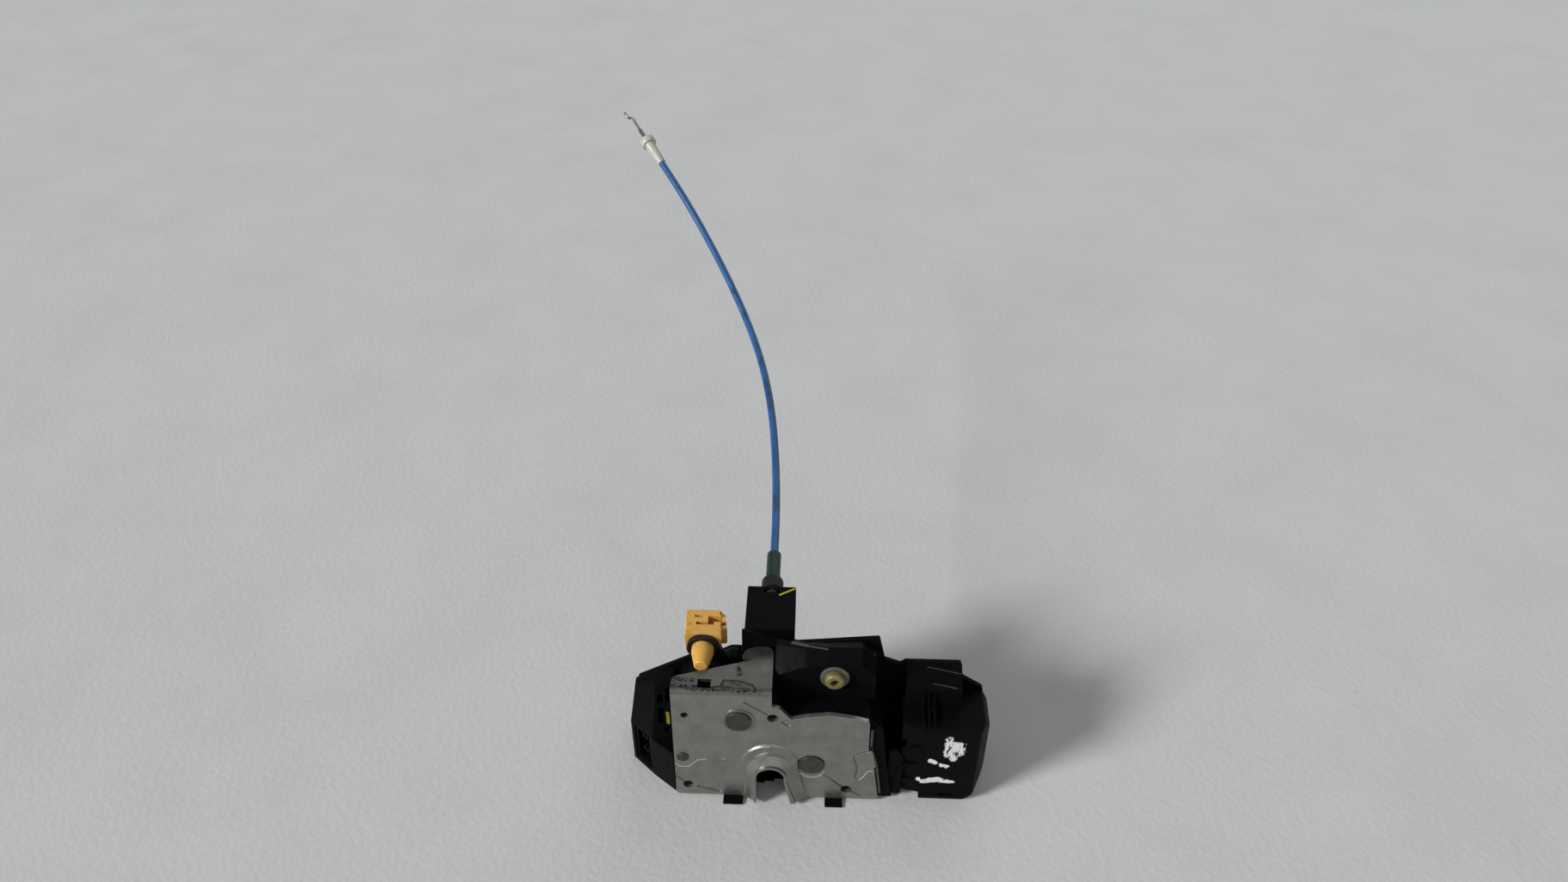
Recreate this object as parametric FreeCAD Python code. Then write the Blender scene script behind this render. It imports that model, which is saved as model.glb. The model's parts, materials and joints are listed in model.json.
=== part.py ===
"""Car door lock: latch plate, claw and pawl, release levers, central-locking drive and release cable.

Frame: millimetres, X to the right along the latch plate, Y into the lock, Z up.
The origin is the middle of the striker slot's round end, on the outer face of the latch plate.
The lock stands on its striker edge, with the outer face of the plate towards -Y.
"""
import math
import os

import FreeCAD
import Part

# Latch plate
SHEET = 2.0
PLATE_LEFT = -43.2
PLATE_BOTTOM = -19.0
FLANGE_TOP = 52.5
FLANGE_RIGHT = 0.7
BEND_RADIUS = 3.0
NOTCH_TOP = 43.5
SLOT_RADIUS = 6.2
SLOT_MOUTH_RIGHT = 10.5
SLOT_LEG_BOTTOM = -18.2
RIM_SHEET = 1.2
RIM_REACH = 4.5
PAD_GROWTH = 6.8
PAD_HEIGHT = 0.8
PAD_RISE = 5.5
FUNNEL_GROWTH = 5.6
FUNNEL_DEPTH = 3.2
STUD_AT = (-39.2, 8.0)
STUD_RADIUS = 2.8
SMALL_HOLE_AT = (-37.2, 36.5)
SMALL_HOLE_RADIUS = 1.7
GROOVE_DEPTH = 0.5
# Pressed grooves: start, end, half width
PLATE_GROOVES = [((5.2, 35.0), (9.0, 31.6), 1.5), ((-33.5, -13.0), (-22.5, -16.4), 1.1)]

# The three screw holes that carry the lock: M6 thread cut in extruded collars
SCREW_HOLES = {"a": (1.2, 36.1), "b": (-37.4, -12.1), "c": (34.5, -12.2)}
THREAD_RADIUS = 2.5
COLLAR_RADIUS = 4.0
COLLAR_DEPTH = 6.5

# Rivets that carry claw and pawl
CLAW_AT = (18.4, 5.1)
PAWL_AT = (-13.8, 34.0)
RIVET_SHAFT = 4.0
RIVET_SHOULDER = 5.6
RIVET_HEAD = 5.8
RIVET_HEAD_HEIGHT = 0.7
RUNNING = 0.06
GAP = 0.3

# Claw, drawn closed round the striker and turned open for the rest position
WORK_FRONT = 7.5
WORK_THICK = 4.5
CLAW_SWING = 40.0
CLAW_HUB = 13.0
CLAW_RIM = 24.0
CLAW_VALLEY = 20.0
CLAW_VALLEY_END = 158.0
HOOK_REACH = 24.5
PRONG_REACH = 29.0
CLAW_SLOT_HALF = 5.9
HOOK_WIDTH = 5.4
PRONG_WIDTH = 7.6
RIM_START = 36.0
CATCH_ANGLE = 82.0
JACKET_SKIN = 0.8

# Pawl
PAWL_HUB = 7.4
PAWL_LIFT_ROOM = 2.6
PAWL_PIN_AT = (16.0, 31.0)
PAWL_PIN_RADIUS = 1.6

# Plastic latch case and the steel plate that closes the claw room behind
CASE_WALL = 1.8
CASE_TOP = 37.0
BACK_FRONT = 14.0
BACK_SHEET = 1.5
WING_SHEET = 1.2
WING_GAP = 0.5
WING_FRONT = 1.6
WING_TOP = 28.0
HOUSING_FRONT = 26.0
HOUSING_WALL = 2.0

# Cover over the release levers
COVER_FRONT = 12.0
COVER_WALL = 1.8
COVER_LEFT = 1.5
COVER_RIGHT = 45.4
# Along the cover: X, top of the upright front, depth and height of the ridge, height at the rear
COVER_STATIONS = [
    (COVER_LEFT, 50.0, 24.6, 59.3, 58.8), (14.9, 56.4, 20.0, 61.6, 56.6), (24.9, 57.8, 17.5, 62.0, 57.2),
    (39.1, 57.4, 17.5, 62.4, 58.6), (COVER_RIGHT, 51.0, 17.5, 57.0, 55.0)]

# Outside release lever on its hollow rivet
LEVER_AT = (27.6, 50.6)
LEVER_FRONT = 19.0
LEVER_SHEET = 2.0
LEVER_HUB = 6.0
LEVER_RIVET_RADIUS = 3.0
LEVER_RIVET_HEAD = 4.4
LEVER_RIVET_BORE = 1.9
LEVER_BOSS = 4.4
WASHER_RADIUS = 6.4
WASHER_SHEET = 1.0
LEVER_STEP = -17.0
LEVER_UNDER_FLANGE = 10.9

# Rod clip in the eye of the outside lever
CLIP_AT = (-30.5, 53.6)
EYE_FRONT = 23.0
EYE_OUTER = 7.2
EYE_HOLE = 5.0
NOSE_TIP_AT = 12.7
NOSE_TIP_RADIUS = 3.0
CLIP_HEAD_WIDTH = 14.4
CLIP_HEAD_BACK = 41.0
ARM_KNUCKLE = 1.1
HEAD_OVERHANG = 1.2

# Floor and housings
FLOOR = -20.5
HOUSING_LEFT = -65.4
HOUSING_RIGHT = 99.8
HOUSING_DEPTH = 44.0
REAR_COVER_SHEET = 2.0
SEAL_THICK = 0.8
RIB_SHEET = 1.6
RIB_BACK = 33.0
TONGUE_POCKET = 0.9
DRIVE_WINDOW = (62.0, 95.0, 8.0, 22.0)
HOUSING_RIBS = ((-16.0, 44.0), (18.0, 44.0), (34.0, 46.0))
BOX_FRONT = 1.5
BOX_TOP = 29.0
BOX_BOTTOM = -19.0
BOX_WALL = 2.0
BOX_LEFT = 58.4
BOX_FACE_LEFT = 67.9
BOX_FACE_RIGHT = 92.3
HOOD = (59.4, 84.0)
FIN_LEVELS = (66.6, 69.0, 71.4)
LUG_LEVELS = (2.0, -9.0)
BLOCK_RIDGE = 6.0
BLOCK_TOP = 38.0
BLOCK_CORNER = (HOUSING_LEFT + 11.2, 10.4)
BLOCK_BACK = 20.6
SOCKET_DEPTH = 9.0
SPRING_STEPS = 14
BLADE_LENGTH = 6.2

# Release cable
CABLE_X = -1.4
CABLE_Z = 58.2
BRACKET_TOP = CABLE_Z + 3.8
BRACKET_HALF = 11.0
BRACKET_BACK = 54.5
BRACKET_WALL = 1.8
BRACKET_FRONT = 1.4
BRACKET_FOOT = 46.0
FERRULE_RADIUS = 3.3
FERRULE_COLLAR = 2.5
FERRULE_BORE = 1.0
FERRULE_END = 80.0
GROMMET_RADIUS = 5.0
GROMMET_LENGTH = 7.5
SHEATH_RADIUS = 1.95
WIRE_RADIUS = 0.75
CABLE_ROUTE = [
    (-1.4, 80.0, 58.2), (-1.4, 104.0, 58.2), (-3.0, 142.0, 63.8), (-6.8, 178.0, 72.0),
    (-13.5, 209.0, 80.5), (-23.5, 236.0, 91.0), (-36.8, 263.0, 104.0), (-51.5, 289.0, 117.0),
    (-66.0, 311.0, 130.0), (-78.6, 329.5, 139.0)]
SLEEVE_LENGTH = 21.0
SLEEVE_RADIUS = 2.9
SLEEVE_FLANGE = 3.9
CRIMP_RADIUS = 1.3
END_WIRE_REACH = 21.0
END_WIRE_BEND = 7.0

# Inside release lever under the cable
INSIDE_PIVOT = (38.5, 44.0)
INSIDE_ARM = 14.2
INSIDE_TILT = 20.0
BARREL_RADIUS = 1.5

# Central-locking drive
GEAR_MODULE = 0.7
PRESSURE = math.radians(20.0)
MOTOR_TEETH = 9
WHEEL_TEETH = 24
SMALL_TEETH = 12
SECTOR_TEETH = 38
SECTOR_COUNT = 6
MOTOR_AT = (83.0, 13.5)
MOTOR_RADIUS = 8.0
MOTOR_HALF = 6.2
MOTOR_BOTTOM = -12.5
MOTOR_TOP = 9.0
WHEEL_LOW = 11.0
WHEEL_HIGH = 15.0
SMALL_HIGH = 20.0
AXLE_RADIUS = 1.5

# Key spindle in the rear cover
KEY_AT = (HOUSING_LEFT + 35.4, -4.0)
KEY_RADIUS = 6.0
KEY_SLOT = (2.2, 8.4)

SCREW_POINTS = [
    (HOUSING_LEFT + 13.4, -14.0), (HOUSING_LEFT + 19.4, 4.0), (0.0, 24.5), (46.0, 19.0),
    (HOUSING_RIGHT - 16.8, -13.8), (20.0, -13.8)]


def vec(x, y, z):
    return FreeCAD.Vector(x, y, z)


NORMALS = {"front": vec(0, 1, 0), "plan": vec(0, 0, 1), "side": vec(1, 0, 0)}


def lift(plane, u, v, level):
    """A drawing point in space: front is X and Z, plan is X and Y, side is Y and Z."""
    if plane == "front":
        return vec(u, level, v)
    if plane == "plan":
        return vec(u, v, level)
    return vec(level, u, v)


def rounded(corner, before, after):
    """Start, middle and end of the arc that rounds one corner, or the bare corner."""
    here = vec(corner[0], corner[1], 0)
    if len(corner) < 3:
        return here, here, here
    radius = corner[2]
    back = (vec(before[0], before[1], 0) - here).normalize()
    ahead = (vec(after[0], after[1], 0) - here).normalize()
    half = back.getAngle(ahead) / 2
    inward = (back + ahead).normalize()
    centre = here + inward * (radius / math.sin(half))
    cut = radius / math.tan(half)
    return here + back * cut, centre - inward * radius, here + ahead * cut


def outline(plane, level, corners):
    """A closed wire through corners (u, v), each with a third value if it is rounded."""
    count = len(corners)
    arcs = [rounded(corners[i], corners[i - 1], corners[(i + 1) % count]) for i in range(count)]
    edges = []
    for i in range(count):
        start, middle, end = [lift(plane, p.x, p.y, level) for p in arcs[i]]
        follow = arcs[(i + 1) % count][0]
        follow = lift(plane, follow.x, follow.y, level)
        if start.distanceToPoint(end) > 1e-6:
            edges.append(Part.Arc(start, middle, end).toShape())
        if end.distanceToPoint(follow) > 1e-6:
            edges.append(Part.LineSegment(end, follow).toShape())
    return Part.Wire(edges)


def positive(shape):
    if shape.Volume < 0:
        shape.reverse()
    return shape


def prism(wire, plane, depth):
    return positive(Part.Face(wire).extrude(NORMALS[plane] * depth))


def slab(plane, low, high, corners):
    return prism(outline(plane, low, corners), plane, high - low)


def box(x0, x1, y0, y1, z0, z1):
    return Part.makeBox(x1 - x0, y1 - y0, z1 - z0, vec(x0, y0, z0))


def rod(at, low, high, radius):
    """A cylinder along Y at a point of the front view."""
    return Part.makeCylinder(radius, high - low, vec(at[0], low, at[1]), vec(0, 1, 0))


def post(at, low, high, radius):
    """A cylinder along Z at a point of the plan view."""
    return Part.makeCylinder(radius, high - low, vec(at[0], at[1], low), vec(0, 0, 1))


def joined(first, *others):
    return first.multiFuse(list(others)).removeSplitter()


def polar(centre, radius, degrees):
    angle = math.radians(degrees)
    return centre[0] + radius * math.cos(angle), centre[1] + radius * math.sin(angle)


def turned(shape, at, degrees):
    """Turn about a Y axis: positive is clockwise seen from the outer face of the plate."""
    copy = shape.copy()
    copy.rotate(vec(at[0], 0, at[1]), vec(0, 1, 0), degrees)
    return copy


def slot_wire(growth, level, bottom, rise=0.0):
    """The striker slot's outline, grown outwards and upwards: straight left leg, flared right leg."""
    wide = SLOT_RADIUS + growth
    points = [(-wide, bottom), (-wide, rise), (wide, rise), (wide, rise - 3.0),
              (SLOT_MOUTH_RIGHT + growth, bottom)]
    p = [lift("front", u, v, level) for u, v in points]
    top = lift("front", 0.0, rise + wide, level)
    edges = [Part.LineSegment(p[0], p[1]).toShape(), Part.Arc(p[1], top, p[2]).toShape()]
    edges += [Part.LineSegment(p[i], p[(i + 1) % 5]).toShape() for i in (2, 3, 4)]
    return Part.Wire(edges)


def slot_prism(growth, low, high, bottom):
    return prism(slot_wire(growth, low, bottom), "front", high - low)


def plate_right_edge(growth):
    """The kinked right edge of the plate, from the top down."""
    points = [(43.3, 35.2), (43.5, 16.6), (46.8, 1.8), (49.4, PLATE_BOTTOM)]
    return [(x + growth, z) for x, z in points]


def latch_plate():
    """Front plate with top flange, slot rim, pads, thread collars and the hook tab on its right."""
    top = FLANGE_TOP - BEND_RADIUS
    corners = [(PLATE_LEFT, PLATE_BOTTOM, 2.0), (PLATE_LEFT + 0.4, top), (FLANGE_RIGHT, top),
               (FLANGE_RIGHT, NOTCH_TOP, 1.0), (4.2, 42.4, 2.0), (9.3, 35.6, 1.5), (16.0, 37.6, 14.0),
               (26.0, 39.4, 18.0), (36.5, 37.4, 14.0)]
    right = plate_right_edge(0.0)
    corners += [right[0] + (1.5,), right[1], right[2], right[3] + (1.5,)]
    body = slab("front", 0.0, SHEET, corners)
    body = body.fuse(top_flange())
    pad = Part.makeLoft([slot_wire(PAD_GROWTH, 0.0, PLATE_BOTTOM, PAD_RISE),
                         slot_wire(PAD_GROWTH - PAD_HEIGHT, -PAD_HEIGHT, PLATE_BOTTOM, PAD_RISE)], True, True)
    funnel = Part.makeLoft([slot_wire(FUNNEL_GROWTH, 0.5 - PAD_HEIGHT, PLATE_BOTTOM),
                            slot_wire(RIM_SHEET, -FUNNEL_DEPTH, PLATE_BOTTOM)], True, True)
    rim = slot_prism(RIM_SHEET, -RIM_REACH, 0.5, SLOT_LEG_BOTTOM)
    body = body.multiFuse([positive(pad), positive(funnel), rim, hook_tab(), pawl_boss()])
    collars = [rod(at, SHEET / 2, COLLAR_DEPTH, COLLAR_RADIUS) for at in SCREW_HOLES.values()]
    body = body.multiFuse(collars)
    cuts = [slot_prism(0.0, -RIM_REACH - 1, COLLAR_DEPTH, PLATE_BOTTOM - 5)]
    cuts += [rod(at, -3.0, COLLAR_DEPTH + 1, THREAD_RADIUS) for at in SCREW_HOLES.values()]
    cuts += [rod(at, -3.0, SHEET + 1, RIVET_SHAFT) for at in (CLAW_AT, PAWL_AT)]
    cuts += [rod(STUD_AT, -1.0, SHEET + 1, STUD_RADIUS - 0.8), rod(CLAW_AT, -3.0, 0.0, RIVET_HEAD + RUNNING)]
    cuts += [rod(SMALL_HOLE_AT, -1.0, SHEET + 1, SMALL_HOLE_RADIUS)]
    cuts += [groove(*run) for run in PLATE_GROOVES]
    return body.cut(Part.makeCompound(cuts)).removeSplitter()


def top_flange():
    """The flange bent back over the case: a bent strip, trimmed to its plan outline."""
    depth = 28.0
    low = FLANGE_TOP - BEND_RADIUS
    left = PLATE_LEFT + 0.4
    profile = [(0.0, low), (0.0, FLANGE_TOP, BEND_RADIUS), (depth, FLANGE_TOP), (depth, FLANGE_TOP - SHEET),
               (SHEET, FLANGE_TOP - SHEET, BEND_RADIUS - SHEET), (SHEET, low)]
    strip = slab("side", left, FLANGE_RIGHT, profile)
    plan = [(left, -1.0), (left, 7.8, 3.5), (-7.4, 18.9, 0.5), (-13.2, 20.2, 1.0), (-11.6, 24.6, 2.6),
            (-4.4, 27.2, 7.0), (FLANGE_RIGHT, 25.6, 4.0), (FLANGE_RIGHT, -1.0)]
    strip = strip.common(slab("plan", low - 1, FLANGE_TOP + 1, plan))
    window = box(-31.4, -25.6, 2.2, 7.0, low, FLANGE_TOP + 1)
    return strip.cut(window)


def hook_tab():
    """The tab that reaches over the side wing at mid height."""
    corners = [(42.0, 16.4), (45.3, 15.4, 0.8), (47.3, 4.2, 1.2), (44.0, 2.2)]
    return slab("front", 0.0, SHEET - 0.2, corners)


def groove(start, end, half):
    """A shallow pressed groove between two points of the plate's outer face."""
    along = (vec(end[0], end[1], 0) - vec(start[0], start[1], 0)).normalize()
    side = vec(-along.y, along.x, 0) * half
    here, there = vec(start[0], start[1], 0), vec(end[0], end[1], 0)
    corners = [here + side, there + side, there - side, here - side]
    return slab("front", -1.0, GROOVE_DEPTH, [(c.x, c.y, half * 0.9) for c in corners])


def pawl_boss():
    return rod(PAWL_AT, -0.4, 0.5, RIVET_HEAD + 1.5)


def pivot_rivet(at, head, tail):
    """A stepped rivet: flush head in front, shoulder that spaces the moving part, shaft, rear head."""
    front = head - RIVET_HEAD_HEIGHT
    shoulder = WORK_FRONT - GAP
    end = BACK_FRONT + BACK_SHEET
    pieces = [rod(at, front, head, RIVET_HEAD), rod(at, head - 0.1, SHEET, RIVET_SHAFT),
              rod(at, SHEET, shoulder, RIVET_SHOULDER), rod(at, shoulder, BACK_FRONT, RIVET_SHAFT),
              rod(at, BACK_FRONT, end, RIVET_SHAFT - 1.0), rod(at, end, end + tail, RIVET_SHAFT)]
    return joined(*pieces)


def claw_rivet():
    return pivot_rivet(CLAW_AT, 0.0, 1.2)


def pawl_rivet():
    return pivot_rivet(PAWL_AT, -0.4, 1.2)


def locating_stud():
    head = rod(STUD_AT, -0.5, 0.0, STUD_RADIUS)
    shank = rod(STUD_AT, 0.0, COLLAR_DEPTH, STUD_RADIUS - 0.8)
    return joined(head, shank)


def case_corners(growth):
    """The outline of the plastic latch case; growth moves the walls outwards."""
    g = growth
    corners = [(-41.0 - g, PLATE_BOTTOM - g), (-41.0 - g, 38.0 + g, 2.5), (-34.0, 45.6 + g, 3.0),
               (2.2 + g, 45.6 + g, 2.0), (6.5 + g, 36.0 + g, 1.0), (24.0, CASE_TOP + g + 0.4, 24.0),
               (43.0, CASE_TOP - 1.5 + g, 4.0), (49.4 + g, 29.0, 4.0), (52.4 + g, 2.0)]
    return corners + [(55.6 + g, PLATE_BOTTOM - g)]


def latch_case():
    """Ring wall round claw and pawl, with striker channel, claw window, feet and screw bosses."""
    ring = slab("front", SHEET, HOUSING_FRONT, case_corners(0.0))
    room = slab("front", SHEET - 1, HOUSING_FRONT + 1, case_corners(-CASE_WALL))
    case = ring.cut(room)
    case = case.cut(box(-SLOT_RADIUS - 1.5, 20.0, SHEET - 1, BACK_FRONT, PLATE_BOTTOM - 1, PLATE_BOTTOM + 3))
    window = box(-33.0, 33.5, LEVER_FRONT - 1.0, HOUSING_FRONT + 1, CASE_TOP - 6, CASE_TOP + 10)
    reliefs = [rod(at, SHEET - 1, COLLAR_DEPTH + GAP, COLLAR_RADIUS + GAP) for at in SCREW_HOLES.values()]
    reliefs.append(rod(STUD_AT, SHEET - 1, COLLAR_DEPTH + 0.2, STUD_RADIUS - 0.8))
    case = case.cut(Part.makeCompound([window] + reliefs))
    ledges = [box(-41.0 + 1, -22.0, BACK_FRONT + BACK_SHEET, BACK_FRONT + BACK_SHEET + 2.5, -17.5, -15.0),
              box(22.0, 50.0, BACK_FRONT + BACK_SHEET, BACK_FRONT + BACK_SHEET + 2.5, -17.5, -15.0),
              box(-40.0, -16.0, BACK_FRONT + BACK_SHEET, BACK_FRONT + BACK_SHEET + 2.5, 41.5, 44.2)]
    feet = [foot(-17.0, 9.0), foot(29.0, 8.0)]
    posts = [stud_post(STUD_AT, STUD_RADIUS + 0.2), buffer_seat()]
    return joined(case, side_lip(), *(ledges + feet + posts))


def side_lip():
    """The flat front lip of the case, seen between the plate's wing and the gap to the drive case."""
    far = plate_right_edge(WING_GAP + WING_SHEET + GAP)
    case = case_corners(-0.6)
    corners = [(far[1][0], 30.5), far[1], far[2], far[3], case[9][:2], case[8][:2], (case[7][0], 28.5)]
    return slab("front", SHEET, SHEET + 1.6, corners)


def foot(middle, wide):
    """A hook under the bottom edge of the plate that reaches forward."""
    profile = [(-4.4, FLOOR, 0.6), (-4.4, PLATE_BOTTOM - 0.4, 0.4), (SHEET, PLATE_BOTTOM - 0.2),
               (SHEET, PLATE_BOTTOM + 1.0), (12.0, PLATE_BOTTOM + 1.0), (12.0, FLOOR)]
    return slab("side", middle - wide / 2, middle + wide / 2, profile)


def stud_post(at, radius):
    return rod(at, SHEET, BACK_FRONT, radius).cut(rod(at, SHEET - 1, COLLAR_DEPTH + 0.2, STUD_RADIUS - 0.8))


def buffer_seat():
    """The shelf above the slot that backs the rubber buffer, carried down from the left wall."""
    shelf = box(-40.0, 7.0, SHEET, WORK_FRONT - 1.0, 12.2, 14.4)
    return shelf.cut(box(-30.0, -28.0, SHEET + 1, WORK_FRONT, 12.0, 15.0))


def striker_buffer():
    """Rubber block that stops the striker above the slot's round end, in front of the claw."""
    block = box(-6.4, 6.4, SHEET, WORK_FRONT - 1.2, 5.0, 12.2)
    return block.cut(rod((0.0, 0.0), SHEET - 1, WORK_FRONT, SLOT_RADIUS + 1.0))


def backing_plate():
    """Steel plate behind claw and pawl, with the side wing that comes forward beside the front plate."""
    inner = -CASE_WALL - 0.2
    plate = slab("front", BACK_FRONT, BACK_FRONT + BACK_SHEET, case_corners(inner))
    edge = plate_right_edge(WING_GAP)
    far = plate_right_edge(WING_GAP + WING_SHEET)
    strip = [(edge[1][0] + 0.1, WING_TOP)] + edge[1:3] + [(edge[3][0] - 0.4, PLATE_BOTTOM + 2.2)]
    strip += [(far[3][0] - 0.4, PLATE_BOTTOM + 2.2)] + [far[2], far[1], (far[1][0] + 0.1, WING_TOP)]
    wing = slab("front", WING_FRONT, BACK_FRONT + BACK_SHEET, strip)
    wing = wing.cut(box(40.0, 56.0, 0.0, SHEET, 1.6, 17.4))
    plate = plate.fuse(wing)
    cuts = [slot_prism(0.8, BACK_FRONT - 1, BACK_FRONT + 3, PLATE_BOTTOM - 5)]
    cuts += [rod(at, BACK_FRONT - 1, BACK_FRONT + 3, RIVET_SHAFT - 1.0) for at in (CLAW_AT, PAWL_AT)]
    cuts.append(pin_slot(BACK_FRONT - 1, BACK_FRONT + 3))
    return plate.cut(Part.makeCompound(cuts)).removeSplitter()


def pin_slot(low, high):
    """Room for the pawl's pin over its whole lift."""
    wide = PAWL_PIN_RADIUS + 0.8
    x, z = PAWL_PIN_AT
    return slab("front", low, high, [(x - wide, z - wide, 2.0), (x - wide, z + wide + PAWL_LIFT_ROOM, 1.0),
                                     (x + wide, z + wide + PAWL_LIFT_ROOM, 1.0), (x + wide, z - wide, 2.0)])


def sector(radius, first, last, low, high):
    """A pie slice of a disc about the claw's pivot, between two angles of the front view."""
    middle = polar(CLAW_AT, radius, (first + last) / 2)
    start, end = polar(CLAW_AT, radius, first), polar(CLAW_AT, radius, last)
    hub = lift("front", CLAW_AT[0], CLAW_AT[1], low)
    a, m, b = [lift("front", u, v, low) for u, v in (start, middle, end)]
    wire = Part.Wire([Part.LineSegment(hub, a).toShape(), Part.Arc(a, m, b).toShape(),
                      Part.LineSegment(b, hub).toShape()])
    return prism(wire, "front", high - low)


def claw_blank(growth, low, high):
    """The closed claw without its bore: hub, locking rim, push prong and hook."""
    x = CLAW_AT[0]
    half = CLAW_SLOT_HALF - growth
    hub = rod(CLAW_AT, low, high, CLAW_HUB + growth)
    rim = sector(CLAW_RIM, RIM_START, CATCH_ANGLE, low, high)
    valley = sector(CLAW_VALLEY, CATCH_ANGLE - 4, CLAW_VALLEY_END, low, high)
    prong = box(x - PRONG_REACH - growth - 2, x, low, high, half, CLAW_SLOT_HALF + PRONG_WIDTH + growth)
    prong = prong.common(rod(CLAW_AT, low, high, PRONG_REACH + growth))
    hook = box(x - HOOK_REACH - growth, x, low, high, -CLAW_SLOT_HALF - HOOK_WIDTH - growth, -half)
    hook = hook.common(rod(CLAW_AT, low, high, HOOK_REACH + min(growth, 0.3)))
    throat = box(x - PRONG_REACH - 4, -half / 4, low, high, -half, half)
    mouth = rod((0.0, 0.0), low, high, half)
    blank = hub.multiFuse([rim, valley, prong, hook]).cut(throat.fuse(mouth))
    return blank.removeSplitter()


def claw_core():
    low, high = WORK_FRONT, WORK_FRONT + WORK_THICK
    core = claw_blank(0.0, low, high)
    core = core.cut(rod(CLAW_AT, low - 1, high + 1, RIVET_SHAFT + RUNNING))
    return turned(core, CLAW_AT, -CLAW_SWING)


def claw_jacket():
    """Moulded skin over the two prongs and the mouth of the claw."""
    low, high = WORK_FRONT, WORK_FRONT + WORK_THICK
    skin = claw_blank(JACKET_SKIN, low + 0.6, high - 0.6)
    core = claw_blank(0.0, low - 1, high + 1)
    keep = box(CLAW_AT[0] - 40, CLAW_AT[0] - 7.0, low, high, -16.0, 16.0)
    jacket = skin.cut(core).common(keep)
    solids = sorted(jacket.Solids, key=lambda s: s.Volume)
    return turned(solids[-1], CLAW_AT, -CLAW_SWING)


def coil(at, low, turns, pitch, radius, wire):
    """A close-wound spring about a Y axis, in short straight lengths of six-sided wire."""
    points = []
    for i in range(int(turns * SPRING_STEPS) + 1):
        angle = 2 * math.pi * i / SPRING_STEPS
        points.append(vec(at[0] + radius * math.cos(angle), low + pitch * i / SPRING_STEPS,
                          at[1] + radius * math.sin(angle)))
    along = (points[1] - points[0]).normalize()
    across = along.cross(vec(1, 0, 0)).normalize()
    other = along.cross(across)
    ring = []
    for i in range(7):
        angle = math.pi * (i % 6) / 3
        ring.append(points[0] + across * (wire * math.cos(angle)) + other * (wire * math.sin(angle)))
    path = Part.makePolygon(points)
    return positive(path.makePipeShell([Part.makePolygon(ring)], True, False, 1))


def claw_spring():
    """Opening spring round the claw rivet's shoulder."""
    return coil(CLAW_AT, SHEET + 0.75, 2.5, 1.5, RIVET_SHOULDER + 0.9, 0.6)


def pawl_spring():
    return coil(PAWL_AT, SHEET + 0.75, 2.5, 1.5, RIVET_SHOULDER + 0.9, 0.6)


def catch_point(radius):
    return polar(CLAW_AT, radius, CATCH_ANGLE)


def pawl_core():
    """Strut pawl: hub, arm to the claw's rim, and the pin that the outside lever lifts."""
    low, high = WORK_FRONT, WORK_FRONT + WORK_THICK
    tip_low = catch_point(CLAW_RIM + GAP)
    x, z = PAWL_AT
    arm = [(x, z + 6.0), (x, z - 6.0), (x + 12.0, z - 5.8, 6.0), (tip_low[0] - 7.0, tip_low[1] - 0.4, 2.0),
           (tip_low[0], tip_low[1], 0.5), (tip_low[0] + 0.4, tip_low[1] + 3.2, 1.2), (10.0, 32.2, 8.0),
           (x + 13.0, z - 0.8, 6.0)]
    body = slab("front", low, high, arm)
    body = body.cut(rod(CLAW_AT, low - 1, high + 1, CLAW_RIM + GAP))
    hub = rod(PAWL_AT, low, high, PAWL_HUB)
    pin = rod(PAWL_PIN_AT, low + 1, LEVER_FRONT + LEVER_SHEET + 0.8, PAWL_PIN_RADIUS)
    body = body.multiFuse([hub, pin])
    return body.cut(rod(PAWL_AT, low - 1, high + 1, RIVET_SHAFT + RUNNING)).removeSplitter()


def cover_section(station, inset, low, back):
    """One cross section of the lever cover: upright front, leaning shoulder, ridge, slope to the rear."""
    x, shoulder, depth, ridge, rear = station
    front = COVER_FRONT + inset
    points = [(front, low), (front, shoulder - 0.4 * inset), (depth - 1.6 + inset / 2, ridge - 1.2 - inset),
              (depth + 1.0, ridge - 0.2 - inset), (back, rear - inset * 1.2), (back, low)]
    return Part.makePolygon([vec(x, u, v) for u, v in points + points[:1]])


def cover_loft(inset, low, back):
    stations = list(COVER_STATIONS)
    stations[0] = (COVER_LEFT + inset,) + stations[0][1:]
    stations[-1] = (COVER_RIGHT - inset,) + stations[-1][1:]
    sections = [cover_section(station, inset, low, back) for station in stations]
    return positive(Part.makeLoft(sections, True, True))


def lever_cover():
    """Moulded cover with the sloping ridge, seated on the case and on the housing."""
    shell = cover_loft(0.0, 28.0, HOUSING_FRONT)
    shell = shell.cut(cover_loft(COVER_WALL, 27.0, HOUSING_FRONT + 1))
    shell = shell.cut(slab("front", 0.0, HOUSING_FRONT + 1, case_corners(0.0)))
    shell = shell.cut(box(40.0, 60.0, 0.0, 30.0, 20.0, 36.5))
    lever_way = box(COVER_LEFT - 1, COVER_LEFT + COVER_WALL + 1, LEVER_FRONT - 1,
                    LEVER_FRONT + LEVER_SHEET + 1, CASE_TOP - 8, FLANGE_TOP - 1.5)
    boss = rod(LEVER_AT, COVER_FRONT, LEVER_FRONT - GAP, LEVER_BOSS)
    shell = shell.cut(lever_way).fuse(boss)
    shell = shell.cut(rod(LEVER_AT, 0.0, 30.0, LEVER_RIVET_RADIUS))
    return max(shell.Solids, key=lambda s: s.Volume)


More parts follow.
